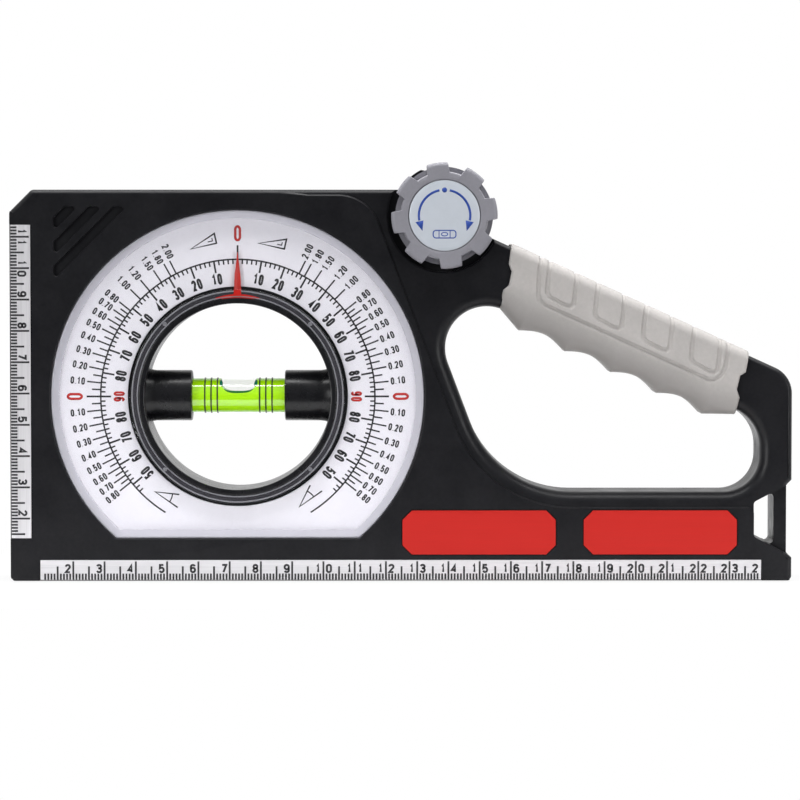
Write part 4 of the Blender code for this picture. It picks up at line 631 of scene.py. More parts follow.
def turned_steel(base, rough=(0.25, 0.42)):
    """Machined steel: fine streaks and small dull spots."""
    return surface(
        Base_Color=lambda r: r.blend(r.spread(r.noise(900.0, 4.0), 0.4, 0.6), shade(base, 0.82), base),
        Roughness=lambda r: r.spread(r.noise(500.0, 4.0), 0.35, 0.65, *rough), Metallic=1.0,
        Normal=lambda r: r.bump(r.noise(1300.0), 0.12, 0.02))


def fingered(r, unshaded):
    """The grip's painted shade: below its pads, down to the finger hollows, it grows darker in soft clouds, as shade
    on its lower side.
    """
    edge = float((GRIP - CORNER[[0, 2]]) @ UPWARD)
    height = r.node("VectorMath", {0: r.place(), 1: (UPWARD[0] / MM, 0.0, UPWARD[1] / MM)}, output="Value",
                    operation="DOT_PRODUCT")
    share = r.spread(edge - height + (r.noise(45.0) - 0.5) * 3.0, 11.0, 21.0, 0.0, 0.9)
    return r.blend(share, unshaded, shade(colours().grip, 0.6))


def dyed(base):
    """Dyed spirit: bright in its middle and deeper at its rim in painted shade, with a faint painted glow as if lit
    from inside.
    """
    def colour(r):
        painted_rim_shade = r.spread(r.facing(0.45) + (r.noise(90.0) - 0.5) * 0.1, 0.25, 0.95)
        return r.blend(painted_rim_shade, base, (base[0] * 0.55, base[1] * 0.72, base[2] * 0.6))

    # The emission is a painted glow, and the deeper colour at the rim is painted shade.
    return surface(Base_Color=colour, Roughness=lambda r: r.spread(r.noise(80.0), 0.3, 0.7, 0.12, 0.2),
                   Specular_IOR_Level=0.12, Emission_Color=colour, Emission_Strength=0.22)


# Each finish: how it is made, its colour or that colour's property, and what else it takes.
# Screen print is a little uneven in colour and gloss, and its relief is faint.
PRINT = {"rough": (0.38, 0.5), "grain": 1500.0, "strength": 0.1, "height": 0.01, "contrast": 0.1}
FINISHES = {
    "case": (moulded, "case", {"rough": (0.32, 0.42), "Specular_IOR_Level": 0.2}),
    "dial": (moulded, "dial", {"rough": (0.45, 0.58), "strength": 0.06, "contrast": 0.03}),
    "ink": (moulded, "ink", PRINT),
    "red_ink": (moulded, "red", PRINT),
    "blue_ink": (moulded, "blue", PRINT),
    "pointer": (moulded, "red", {"rough": (0.35, 0.48), "strength": 0.05, "contrast": 0.08,
                                 "Specular_IOR_Level": 0.25}),
    "base_strip": (brushed, "strip", {"stretch": (40, 900, 3200), "metallic": 0.35}),
    "side_strip": (brushed, "strip", {"stretch": (3200, 900, 40), "metallic": 0.35}),
    "plate": (brushed, "red", {"stretch": (60, 900, 2600), "metallic": 0.0, "rough": (0.42, 0.55), "contrast": 0.05,
                               "Specular_IOR_Level": 0.25}),
    "lens": (clear, (0.96, 0.97, 0.98), {"alpha": 0.035, "rim": 0.5, "metallic": 1.0}),
    "lens_rim": (clear, linear(196, 195, 203), {"alpha": 0.5, "rim": 0.8, "rough": (0.1, 0.2)}),
    "clear_ring": (clear, linear(62, 61, 66), {"alpha": 0.88, "rim": 0.95, "rough": (0.12, 0.2)}),
    # Painted highlights of the clear ring's edges, a pale grey that its pegs share.
    "clear_edge": (clear, linear(158, 158, 164), {"alpha": 0.6, "rim": 0.9, "rough": (0.15, 0.25)}),
    "tube": (clear, (0.97, 0.98, 0.98), {"alpha": 0.055, "rim": 0.2, "rough": (0.02, 0.05), "metallic": 1.0}),
    # The fluid's finish paints a glow, and shade at its rim.
    "fluid": (dyed, "fluid", {}),
    # Painted shade round the bubble: dark green along its floor and teal at its ends.
    "bubble_edge": (clear, linear(10, 112, 38), {"alpha": 0.92, "rim": 0.97}),
    "bubble_corner": (clear, linear(0, 120, 95), {"alpha": 0.85, "rim": 0.95}),
    "ring": (moulded, "ring", {"rough": (0.24, 0.32), "strength": 0.04, "Specular_IOR_Level": 0.4}),
    "knob": (moulded, "knob", {"rough": (0.5, 0.62), "grain": 1900.0, "height": 0.07, "contrast": 0.06}),
    "knob_face": (brushed, "label", {"stretch": (300, 300, 300), "metallic": 0.1, "rough": (0.3, 0.42),
                                     "contrast": 0.04}),
    # The grip's lower side takes painted shade, darker towards the finger hollows.
    "grip": (moulded, "grip", {"rough": (0.55, 0.68), "grain": 1700.0, "strength": 0.3, "height": 0.08,
                               "contrast": 0.07, "worn": fingered}),
    "nylon": (moulded, linear(228, 225, 208), {"rough": (0.42, 0.55), "contrast": 0.05}),
    "washer": (moulded, linear(30, 30, 32), {"rough": (0.7, 0.85), "contrast": 0.2}),
    "steel": (turned_steel, linear(196, 196, 200), {}),
    "magnet": (turned_steel, linear(214, 212, 206), {"rough": (0.16, 0.28)}),
}


def finish(look):
    """The material of that finish, made when it is first asked for."""
    made = bpy.data.materials.get(f"finish {look}")
    if made is None:
        make, base, more = FINISHES[look]
        made = make(getattr(colours(), base) if isinstance(base, str) else base, **more)
        made.name = f"finish {look}"
    return made


# ---- Figures, drawn with a pen in a box one wide and one high

def bowl(x, y, reach, rise, start, end):
    """Part of an ellipse about a point, between two angles in degrees."""
    return arc((x, y), (reach, rise), math.radians(start), math.radians(end), 16.0)


def stroke(*parts, closed=False):
    """One line of the pen, through points and bowls in turn, and whether it closes."""
    return np.concatenate([bowl(*part) if len(part) > 2 else np.array([part], float) for part in parts]), closed


FIGURES = {
    "0": [stroke((0.5, 0.74, 0.5, 0.26, 0, 180), (0.5, 0.26, 0.5, 0.26, 180, 360), closed=True)],
    "1": [stroke((0.1, 0.76), (0.62, 1.0), (0.62, 0.0))],
    "2": [stroke((0.5, 0.74, 0.5, 0.26, 175, -25), (0.0, 0.0), (1.0, 0.0))],
    "3": [stroke((0.5, 0.765, 0.48, 0.235, 165, -90), (0.3, 0.53)),
          stroke((0.3, 0.53), (0.5, 0.265, 0.5, 0.265, 90, -165))],
    "4": [stroke((0.76, 0.0), (0.76, 1.0), (0.0, 0.27), (1.0, 0.27))],
    "5": [stroke((0.95, 1.0), (0.1, 1.0), (0.05, 0.52), (0.5, 0.31, 0.5, 0.31, 125, -160))],
    "6": [stroke((0.5, 0.36, 0.5, 0.24, 0, 180), (0.5, 0.26, 0.5, 0.26, 180, 360), closed=True),
          stroke((0.0, 0.3), (0.5, 0.74, 0.5, 0.26, 180, 20))],
    "7": [stroke((0.0, 1.0), (1.0, 1.0), (0.32, 0.0))],
    "8": [stroke((0.5, 0.76, 0.46, 0.24, 0, 337.5), closed=True),
          stroke((0.5, 0.26, 0.5, 0.26, 0, 337.5), closed=True)],
    ".": [stroke((0.5, -0.04), (0.5, 0.04))],
}
FIGURES["9"] = [(1.0 - line, closed) for line, closed in FIGURES["6"]]


def number(shape, text, place, way, height, width, gap, pen, depth):
    """A number centred on a plan place and read along a direction, its strokes inside each figure's box.

    A point is one pen wide.
    """
    widths = [pen if character == "." else width for character in text]
    start = -(sum(widths) + gap * (len(text) - 1)) / 2
    for character, wide in zip(text, widths):
        for line, closed in FIGURES[character]:
            run = start + pen / 2 + line[:, :1] * (wide - pen)
            rise = (line[:, 1:] - 0.5) * (height - pen)
            shape.ribbon(placed(np.hstack([run, rise]), place, way, -right_of(way)), pen, depth, closed)
        start += wide + gap


# ---- The case

def hollows():
    """The rooms of the ring gear, the idler and the pinion, one tool each, and those between the base screws."""
    rooms = [Shape().rod(radius, CHAMBER_FRONT, CHAMBER_BACK, place, 96) for place, radius in CHAMBERS]
    for (left, _), (right, _) in zip(SCREWS[:3], SCREWS[1:4]):
        rooms[0].prism(box_outline(left + 5.5, 6.0, right - 5.5, 21.3, 1.0), 3.0, CHAMBER_BACK)
    return rooms


def magnet_holes(shape):
    """Blind holes up from the base: a rod about an upright axis at mid depth."""
    radii = np.array([0, MAGNET_RADIUS, MAGNET_RADIUS, 0])[:, None]
    heights = np.array([-1, -1, MAGNET_TOP, MAGNET_TOP])[:, None]
    cosines, sines = spin(40)
    for x in MAGNETS:
        shape.sheet(x + radii * cosines, MIDDLE + radii * sines, heights)


def grip_room(upper, lower):
    """The room the grip takes from the case between two drops, a hair past both of its ends."""
    drops = np.array([upper, *GRIP_DROPS[(GRIP_DROPS > upper) & (GRIP_DROPS < lower)], lower])
    left = np.interp(drops, GRIP_DROPS, GRIP_LEFT) - 0.3
    right = np.interp(drops, GRIP_DROPS, GRIP_RIGHT) + 0.3
    return np.concatenate([on_grip(left, drops), on_grip(right, drops)[::-1]])


def neck_tools(front, back):
    """Cuts that leave only the handle's bar inside the grip, with its three screw ways."""
    rest = Shape().prism(grip_room(-4.0, 3.4), -2.0, 28.0).prism(grip_room(17.0, 27.0), -2.0, 28.0)
    for place in GRIP_SCREWS:
        rest.rod(SCREW_HOLE, -1.0, 27.0, place, 20)
    return [Shape().prism(grip_room(-4.0, 27.0), front, back), rest]


def half_case(name, face, back, *holes):
    """A plain half of the case, from its face to the seam, with the hand opening and any other hole.

    Its outer edges are softened, but not along the base and the left edge, where the scales run out. The
    opening's rim is round, and both end in a small chamfer at the seam.
    """
    way = 1 if back > face else -1
    outline, seam = body_outline(), back - way * SEAM
    share = (outline.min(axis=1) > 0.3).astype(float)
    sides = [(face + way * run, growth * share) for run, growth in soft_edge(sizes().edge_round / MM)]
    rim = [(face + way * run, growth) for run, growth in round_edge(0, sizes().opening_round / MM, 1, 10)]
    return add_object(name, Shape().carried((outline, [*sides, (seam, 0.0), (back, -SEAM)]),
                                            (opening_outline(), [*rim, (seam, 0.0), (back, SEAM)]), *holes))


class RULER_OT_case_front(bpy.types.Operator):
    """Builds the front half of the case with its crease, dial recess, knob pocket, grooves and hand opening"""
    bl_idname = "ruler.case_front"
    bl_label = "Case front"

    def execute(self, context):
        # The lower area's front lies a step back. The raised part, left of the crease and along the base, is
        # united with it: its outer edges are soft, and at the crease its growth falls evenly to nothing.
        edge = sizes().edge_round / MM
        shell, raised = half_case("case_front", STEP, FRONT_BACK), raised_outline()
        x, z = raised.T
        straight = raised.min(axis=1) < 0.3
        outer = straight | (z > 117) & ((x < 8) | (z > 124.9)) | (x > 248) & (z < 12.1)
        levels = []
        for depth in sorted([depth for depth, _ in soft_edge(edge)] + [0.79, 0.9, 2.1, 2.3, 3.0]):
            turn = soft_inset(depth, edge) - (0.1 if depth > 2.2 else 0.03)
            crease = -0.5 * max(1 - depth / STEP, 0.0)
            levels.append((depth, np.where(straight, -0.1 * (depth > 0.8), np.where(outer, turn, crease))))
        joined(shell, [Shape().carried((raised, levels))], "UNION")
        mouth = [(-1.0, 0.5), (0.0, 0.5), (0.08, 0.28), (0.25, 0.1), (0.5, 0.0), (4.6, 0.0)]
        recesses = Shape().carried((dial_outline(0.0), mouth))
        recesses.turned([(0, -1), (18.5, -1), (18.5, 0.8), (17.9, 1.4), (17.9, 4.0), (0, 4.0)], KNOB, 96)
        strip = STRIP_EDGE + STRIP_WIDTH + 0.3
        for outline in (box_outline(9.2, -1.0, 240.4, strip), box_outline(-1.0, 13.4, strip, 114.1),
                        *[plate_outline(left, 0.3) for left in NAME_PLATES]):
            recesses.prism(outline, -1.0, 0.6)
        for index in range(3):
            recesses.carried((groove_outline(index), [(-1.0, 0.25), (0.0, 0.25), (0.3, 0.0), (1.4, 0.0)]))
        recesses.prism(LOW_BOW, -1.0, 4.8)
        holes = Shape().rod(FRONT_HOLE, 3.0, 16.0, DIAL)
        holes.turned([(0, 3.5), (7.8, 3.5), (7.8, 4.9), (4.4, 4.9), (4.4, 16.0), (0, 16.0)], KNOB, 48)
        holes.rod(PIN_HOLE, 5.4, 9.5, IDLER, 24)
        for place in SCREWS:
            holes.rod(SCREW_HOLE, 8.7, 16.0, place, 20)
        magnet_holes(holes)
        holes.prism(SLOT, -1.0, 16.0)
        joined(shell, [recesses, holes, *hollows(), *neck_tools(-2.0, 3.1)])
        dressed(shell, "case", replaces=["front_shell"], even=True)
        return {"FINISHED"}


class RULER_OT_case_rear(bpy.types.Operator):
    """Builds the rear half of the case with its eye, hand opening, screw wells and lowered bow"""
    bl_idname = "ruler.case_rear"
    bl_label = "Case rear"

    def execute(self, context):
        shell = half_case("case_rear", DEPTH, COVER_FRONT, (SLOT, [(DEPTH, 0.0), (COVER_FRONT, 0.0)]))
        eye = Shape().turned([(0, 14), (BACK_HOLE, 14), (BACK_HOLE, 25.1), (32.8, 25.6), (33.5, 26.0), (33.5, 27),
                              (0, 27)], DIAL)
        for place in SCREWS:
            eye.turned([(0, 14), (SCREW_HOLE, 14), (SCREW_HOLE, 22.7), (2.8, 22.7), (2.8, 25.7), (3.1, 26.0),
                        (3.1, 27), (0, 27)], place, 32)
        eye.rod(PIN_HOLE, 22.0, 25.2, IDLER, 24).rod(KNOB_HOLE, 22.0, 25.2, KNOB, 32)
        magnet_holes(eye)
        rooms = hollows()
        rooms[0].prism(LOW_BOW, 22.0, 27.0)
        joined(shell, [eye, *rooms, *neck_tools(22.9, 28.0)])
        dressed(shell, "case", replaces=["rear_shell"], even=True)
        return {"FINISHED"}


class RULER_OT_screws(bpy.types.Operator):
    """Builds the cross-head screws in the back of the case and of the grip"""
    bl_idname = "ruler.screws"
    bl_label = "Case and grip screws"

    def execute(self, context):
        # A thread is a sawtooth of the shank's radius along its run. The head is domed, and a cross is cut in it:
        # a quarter of its outline, turned by a quarter turn four times.
        quarter, turn = np.array([(1.5, -0.24), (1.5, 0.24), (0.24, 0.24)]), np.array([(0, 1), (-1, 0)])
        cross = np.concatenate([quarter @ np.linalg.matrix_power(turn, i) for i in range(4)])
        screws, crosses = Shape(), Shape()
        for places, tip, seat in ((SCREWS, 9.0, 23.0), (GRIP_SCREWS, 0.9, 23.8)):
            turns = np.arange(tip + 0.8, seat - 1.5, 0.45)
            thread = [pair for depth in turns for pair in ((1.0, depth), (1.3, depth + 0.22))]
            head = [(2.35, 0), (2.5, 0.15), (2.5, 0.8), (2.35, 1.1), (1.9, 1.4), (1.2, 1.55), (0, 1.6)]
            profile = [(0, tip), (0.5, tip + 0.3), *thread, (1.1, seat - 1.0), (1.1, seat),
                       *[(radius, seat + rise) for radius, rise in head]]
            for place in places:
                screws.turned(profile, place, 24)
                crosses.carried((cross + place, [(seat + 0.7, -0.1), (seat + 2.0, 0.0)]))
        names = [f"case_screw_{i}" for i in range(1, 10)] + [f"grip_screw_{i}" for i in range(1, 4)]
        dressed(joined(add_object("screws", screws), [crosses]), "steel", replaces=names)
        return {"FINISHED"}


# ---- The dial

class RULER_OT_dial(bpy.types.Operator):
    """Builds the dial's plate, its clear cover and the cover's thick rim"""
    bl_idname = "ruler.dial"
    bl_label = "Dial plate and cover"

    def execute(self, context):
        whole, window = dial_outline(DIAL_GAP), dial_outline(DIAL_GAP + 2.6)
        plate = Shape().carried((whole, [(PLATE_FRONT, -0.1), (3.6, 0.0), (PLATE_BACK, 0.0)]),
                                (circle(DIAL, PLATE_HOLE), [(PLATE_FRONT, 0.1), (3.6, 0.0), (PLATE_BACK, 0.0)]))
        dressed(add_object("dial_face", plate), "dial", replaces=["dial_plate"])
        cover = Shape().carried((window, [(0.4, 0.02), (2.0, 0.02)]),
                                (circle(DIAL, COVER_HOLE), [(0.4, 0.25), (0.5, 0.08), (0.65, 0.0), (2.0, 0.0)]))
        cover = dressed(add_object("dial_cover", cover), "lens", replaces=["dial_lens"], even=True)
        rim = Shape().carried((whole, [*round_edge(0.4, 0.6, -1, 6), (3.2, 0.0)]),
                              (window, [(0.4, 0.0), (3.1, 0.0), (3.2, 0.1)]))
        rim = dressed(add_object("dial_cover_rim", rim), "lens_rim", even=True)
        cover.visible_shadow = rim.visible_shadow = False
        return {"FINISHED"}


class RULER_OT_dial_print(bpy.types.Operator):
    """Prints the dial: two-degree marks, their numbers, the rise scale with its numbers, zeros and signs"""
    bl_idname = "ruler.dial_print"
    bl_label = "Dial print"

    def execute(self, context):
        black, red, line = Shape(), Shape(), 43.9
        tick, depth = sizes().tick_width / MM, PLATE_FRONT - PRINT_GAP
        black.ribbon(DIAL + line * bearing(np.arange(-148, 148.1, 2.0)), 0.5, depth)
        fine = np.arange(-134, 135, 2.0)
        fine = fine[np.abs(np.abs(fine) - 90) > 1]
        long = np.isclose(np.mod(np.abs(fine), 10), 0) & (fine != 0)
        for angles, inner, width in ((fine[~long], 42.4, tick), (fine[long], 40.1, tick * 1.2)):
            way = bearing(angles)
            black.marks(DIAL + line * way, DIAL + inner * way, width, depth)
        for angle in range(10, 140, 10):
            for side in (-1, 1):
                way = bearing(side * angle)
                number(red if angle == 90 else black, str(min(angle, 180 - angle)), DIAL + 38.0 * way,
                       right_of(way), 3.55, 1.5, 0.3, 0.68, depth)
        # The rise scale: a rise v stands at the bearing whose tangent from level is v. Crowded numbers move a little.
        moved = {1.5: 0.5, 1.8: 0.85, 2.0: -0.85}
        for rise in np.concatenate([np.arange(0.05, 0.81, 0.05), [1.0, 1.2, 1.5, 1.8, 2.0]]).round(2):
            slope = math.degrees(math.atan(rise))
            named = rise > 0.8 or round(rise * 100) % 10 == 0
            for side in (-1, 1):
                for angle in [90 - slope, 90 + slope] if rise <= 0.8 else [90 - slope]:
                    way = bearing(side * angle)[None]
                    black.marks(DIAL + line * way, DIAL + (48.5 if named else 46.8) * way, tick, depth)
                    if named:
                        way = bearing(side * (angle + moved.get(float(rise), 0)))
                        number(black, f"{rise:.2f}", DIAL + 51.5 * way, side * way, 2.35, 1.15, 0.24, 0.46, depth)
        for angle, upright in ((-90, -1), (0, 1), (90, 1)):
            way = bearing(angle)
            black.marks(DIAL + 48.4 * way[None], DIAL + 40.6 * way[None], tick * 1.2, depth)
            number(red, "0", DIAL + 52.2 * way, upright * right_of(way), 5.2, 2.3, 0.0, 0.8, depth)
        # Signs: a rising wedge for the rise scale, two arms and an arc for the angle scale.
        wedge = (([(-4.2, -1.5), (4.2, -1.5), (4.2, 1.7)], 0.5, True),
                 ([(1.6, -0.5), (3.1, -0.5), (3.1, 0.45)], 0.32, False))
        arms = (([(4.6, -1.5), (-4.2, -1.5), (2.6, 2.2)], 0.5, False),
                (arc((-4.2, -1.5), 5.6, 0, math.atan2(3.7, 6.8), 4.0), 0.4, False))
        for angle, radius, upright, sign in ((12.7, 50.8, 1, wedge), (145, 38.8, -1, arms)):
            for side in (-1, 1):
                way = bearing(side * angle)
                across = upright * right_of(way)
                for points, pen, closed in sign:
                    black.ribbon(placed(points, DIAL + radius * way, across, upright * way), pen, depth, closed)
        inked("dial_print", black, "ink")
        inked("dial_red_print", red, "red_ink")
        return {"FINISHED"}


# ---- The ring with its level

class RULER_OT_ring(bpy.types.Operator):
    """Builds the gloss ring that carries the level, with the two sockets that hold the level's ends"""
    bl_idname = "ruler.ring"
    bl_label = "Level ring"

    def execute(self, context):
        # One closed profile turned about the dial's axis, then two tubes along the level united with it.
        profile = [(29.8, 1.0), (29.92, 0.74), (30.2, 0.6), (31.3, 0.6), (31.52, 0.7), (31.6, 0.9), (31.6, 3.15),
                   (34.2, 3.15), (34.2, 7.3), (40, 7.3), (40, 9.7), (32.1, 9.7), (32.1, 14.9), (40, 14.9), (40, 16.9),
                   (34.2, 16.9), (34.2, 23.3), (32.1, 23.3), (32.1, 25.1), (32.02, 25.3), (31.8, 25.4), (30.2, 25.4),
                   (29.92, 25.26), (29.8, 25.0), (29.8, 13.12), (29.92, 13.0), (29.8, 12.88)]
        socket = [(5.95, 14.9), (7.55, 14.9), (7.9, 15.0), (8.1, 15.2), (8.15, 15.5), (8.15, 26.4), (8.3, 27.6),
                  (8.6, 28.8), (8.95, 30.0), (8.95, 30.9), (5.95, 30.9)]
        ring = add_object("level_ring", Shape().turned(profile, DIAL, 192, closed=True))
        joined(ring, [Shape().across([(radius, side * run) for radius, run in socket], DIAL, 72)
                      for side in (-1, 1)], "UNION")
        dressed(ring, "ring", "ring", ["vial_ring_front", "vial_ring_rear"], even=True)
        return {"FINISHED"}


class RULER_OT_clear_ring(bpy.types.Operator):
    """Builds the clear ring round the eye with its edges, pale grey as painted highlights, and four pegs in the same
    grey
    """
    bl_idname = "ruler.clear_ring"
    bl_label = "Clear ring"

    def execute(self, context):
        band = [(31.7, 1.3), (31.8, 1.2), (33.9, 1.2), (34.0, 1.3), (34.0, 2.85), (31.7, 2.85)]
        band = Shape().turned(band, DIAL, 160, closed=True)
        dressed(add_object("clear_band", band), "clear_ring", "ring", ["clear_ring"])
        # The two edge rings are pale grey that paints the highlights along the band's edges; the pegs share their
        # grey.
        edges = Shape()
        for radius in (32.0, 33.72):
            edges.turned(arc((radius, 1.17), (0.24, 0.16), 0, FULL_TURN, 30)[:-1], DIAL, 160, closed=True)
        peg = [(0, 1.16), (0.4, 1.16), (0.46, 1.0), (0.62, 1.0), (0.68, 1.12), (0.68, 4.8), (0, 4.8)]
        for angle in (45, 135, 225, 315):
            edges.turned(peg, DIAL + 32.86 * bearing(angle), 24)
        dressed(add_object("clear_band_painted_highlights", edges), "clear_edge", "ring")
        return {"FINISHED"}


class RULER_OT_pointer(bpy.types.Operator):
    """Builds the red pointer: a needle crowned along its middle, on a curved foot"""
    bl_idname = "ruler.pointer"
    bl_label = "Pointer"

    def execute(self, context):
        # The needle's half width is drawn through four stations out along the radius. Each row is a section: its
        # right edge, the ridge, its left edge, and the two corners of its back.
        runs = np.linspace(33.95, 46.2, 25)[:, None]
        half = np.interp(runs, (33.95, 39.0, 42.8, 46.2), (1.15, 0.95, 0.45, 0.12))
        needle = Shape().sheet(DIAL[0] + half * (1, 0, -1, -1, 1), (2.46, 2.14, 2.46, 2.83, 2.83), DIAL[1] + runs,
                               capped=True)
        # Its foot follows the ring. Over the clear ring runs a root, and from it a flat bow to either side.
        turns = np.linspace(-2.4, 2.4, 9)
        foot = np.concatenate([34.12 * bearing(turns), 33.93 * bearing(-turns)])[::-1]
        root = np.array([(-1.22, 32.2), (-1.14, 34.1), (1.14, 34.1), (1.22, 32.2)])
        x = np.linspace(-7, 7, 41)
        crown, chord = np.stack([x, 31.55 + 1.25 * (1 - (x / 7) ** 2)], 1), np.stack([x, 31.3 + 0 * x], 1)
        bow = np.concatenate([crown, chord[::-1]])
        for outline, front, back in ((foot, 2.36, 2.84), (root, 1.0, 1.15), (bow, 1.06, 1.15)):
            needle.prism(DIAL + outline, front, back)
        dressed(add_object("needle", needle), "pointer", "ring", ["pointer"])
        return {"FINISHED"}


class RULER_OT_level(bpy.types.Operator):
    """Builds the level: clear tube, dyed fluid with a painted glow, its air bubble with painted shade round its edge,
    and the six lines
    """
    bl_idname = "ruler.level"
    bl_label = "Level"

    def execute(self, context):
        # Fluid: a round rod whose top is cut by the bubble's floor. A point at run x and angle a has the height
        # min(r sin a, h(x)), where h is r less the bubble's depth times a superellipse of the run.
        radius, reach = sizes().fluid_radius / MM, sizes().bubble_length / MM / 2
        sink, power = sizes().bubble_depth / MM, 3.1
        runs = np.concatenate([[-14.8], np.linspace(-reach - 1, -reach + 1, 25),
                               np.linspace(-reach + 1, reach - 1, 40)[1:-1],
                               np.linspace(reach - 1, reach + 1, 25), [14.8]])[:, None]
        floor = radius - sink * np.clip(1 - np.abs(runs / reach) ** power, 0, 1) ** (1 / power)
        cosines, sines = spin(96)
        fluid = Shape().sheet(DIAL[0] + runs, MIDDLE - radius * cosines, DIAL[1] + np.minimum(radius * sines, floor),
                              capped=True)
        dressed(add_object("fluid", fluid), "fluid", "ring", ["vial_fluid"])
        tube = [(5.5, -21.0), (5.65, -20.85), (5.65, 20.85), (5.5, 21.0), (5.47, 20.9), (5.47, -20.9)]
        dressed(add_object("tube", Shape().across(tube, DIAL, 96)), "tube", "ring", ["vial_tube"])
        lines = Shape()
        for run in (-10.8, -8.8, -6.8, 6.8, 8.8, 10.8):
            lines.across([(5.66, run - 0.21), (5.7, run - 0.18), (5.7, run + 0.18), (5.66, run + 0.21)], DIAL, 96)
        dressed(add_object("level_lines", lines), "ink", "ring")
        # The bubble's edge, painted shade in dark green: a pen line along the floor's curve, on the front of the
        # fluid, and one in teal at each of its ends, painted shade too. A point at turn t runs out by cos t and drops
        # by sin t, each to the power two over the floor's.
        edge, corners = Shape(), Shape()
        cosines, sines = spin(12)
        for target, first, last, pen, wide, tall in ((edge, 40, 140, 0.72, 0, 1), (corners, 0.4, 26, 1.1, 1, 0),
                                                     (corners, 154, 179.6, 1.1, 1, 0)):
            turn = np.radians(np.linspace(first, last, 41))[:, None]
            run = reach * np.sign(np.cos(turn)) * np.abs(np.cos(turn)) ** (2 / power)
            height = radius - sink * np.sin(turn) ** (2 / power)
            swell = pen / 2 * np.sin(np.linspace(0.02, math.pi - 0.02, len(turn)))[:, None] ** 0.5
            rise = np.minimum(height + tall * swell * sines, 0.985 * radius)
            depth = MIDDLE - 0.02 - np.sqrt(radius**2 - rise**2) - 0.06 * cosines * swell / swell.max()
            target.sheet(DIAL[0] + run + wide * swell * sines, depth, DIAL[1] + rise, capped=True)
        # Dark green and teal sheets that paint the shade round the bubble.
        dressed(add_object("bubble_edge", edge), "bubble_edge", "ring")
        dressed(add_object("bubble_painted_shade_corners", corners), "bubble_corner", "ring")
        return {"FINISHED"}


# ---- The knob

class RULER_OT_knob(bpy.types.Operator):
    """Builds the knob with its eight finger notches, its pale face and the blue turning signs"""
    bl_idname = "ruler.knob"
    bl_label = "Knob"

    def execute(self, context):
        # The knob's radius is its profile's, held inside a notch curve that falls smoothly from the rim to the
        # floor round each notch's bearing. The flange behind has no notches.
        profile = [(4.3, 3.7), (15.4, 3.7), (15.6, 3.5), (15.6, 1.3), (16.7, 1.3), (16.9, 1.1), (16.9, -4.7),
                   (16.8, -5.2), (16.52, -5.62), (16.1, -5.9), (15.6, -6.0), (11.8, -6.0), (11.6, -5.93),
                   (11.5, -5.8), (11.5, -5.3), (4.2, -5.3), (4.2, -2.7), (1.5, -2.7), (1.5, -1.2), (4.3, -1.2)]
        radii, depths = np.array(profile).T[..., None]
        cosines, sines = spin(480)
        bearings = 90 - np.degrees(np.linspace(0, FULL_TURN, 480, endpoint=False)) - 14.5
        rise = np.clip((np.abs((bearings + 22.5) % 45 - 22.5) - 7.3) / 4.4, 0, 1)
        notch = 14.0 + 3.0 * rise * rise * (3 - 2 * rise)
        notched = (depths <= 1.3) & (radii > 15.61) | (depths == -6.0) & (radii > 12)
        radii = np.where(notched, np.minimum(radii, notch - 0.45 * (16.9 - radii)), radii)
        body = Shape().sheet(KNOB[0] + radii * cosines, depths, KNOB[1] + radii * sines, along=True)
        dressed(add_object("knob_body", body), "knob", "knob", ["knob"], even=True)
        face = [(0, -5.99), (9.9, -5.99), (10.35, -5.95), (10.7, -5.86), (11.05, -5.84), (11.2, -5.75), (11.2, -5.6),
                (0, -5.6)]
        dressed(add_object("knob_face", Shape().turned(face, KNOB, 96)), "knob_face", "knob",
                ["knob_label"])
        blue, depth = Shape(), -6.0
        for side in (-1, 1):
            blue.ribbon(KNOB + 8.15 * bearing(side * np.linspace(11.5, 101, 46)), 0.74, depth)
            head = KNOB + np.array([(side * 9.25, -2.1), (side * 6.7, -1.5), (side * 7.0, -4.9)])
            blue.add(level(head, depth), [(0, 1, 2)])
        blue.add(level(circle(KNOB + (0, 8.1), 0.82, 32), depth), [tuple(range(32))])
        # A level sign: a rounded bar with a bubble and two lines.
        x, z = KNOB
        blue.ribbon(box_outline(x - 3.6, z - 7.1, x + 3.6, z - 4.7, 0.9), 0.36, depth, closed=True)
        blue.ribbon(arc(KNOB + (0, -5.9), (1.0, 0.55), 0, FULL_TURN, 15)[:-1], 0.3, depth, closed=True)
        blue.marks(KNOB + [(-1.75, -6.95), (1.75, -6.95)], KNOB + [(-1.75, -4.85), (1.75, -4.85)], 0.28, depth)
        inked("knob_print", blue, "blue_ink", "knob")
        return {"FINISHED"}


# ---- The grip

def finger_drop(along):
    """The grip's lower edge: hollows that follow the absolute sine between five cusps, eased to both ends."""
    swing = np.abs(np.sin(math.pi * (along - FIRST_CUSP) / ((LAST_CUSP - FIRST_CUSP) / 4)))
    cusp, end = GRIP_DROP + 2.2, GRIP_DROPS[-1]
    drop = GRIP_DROP + 2.2 * (1 - swing)
    drop = np.where(along < FIRST_CUSP, np.interp(along, [GRIP_LEFT[-1], FIRST_CUSP], [end, cusp]), drop)
    return np.where(along > LAST_CUSP, np.interp(along, [LAST_CUSP, GRIP_RIGHT[-1]], [cusp, end]), drop)


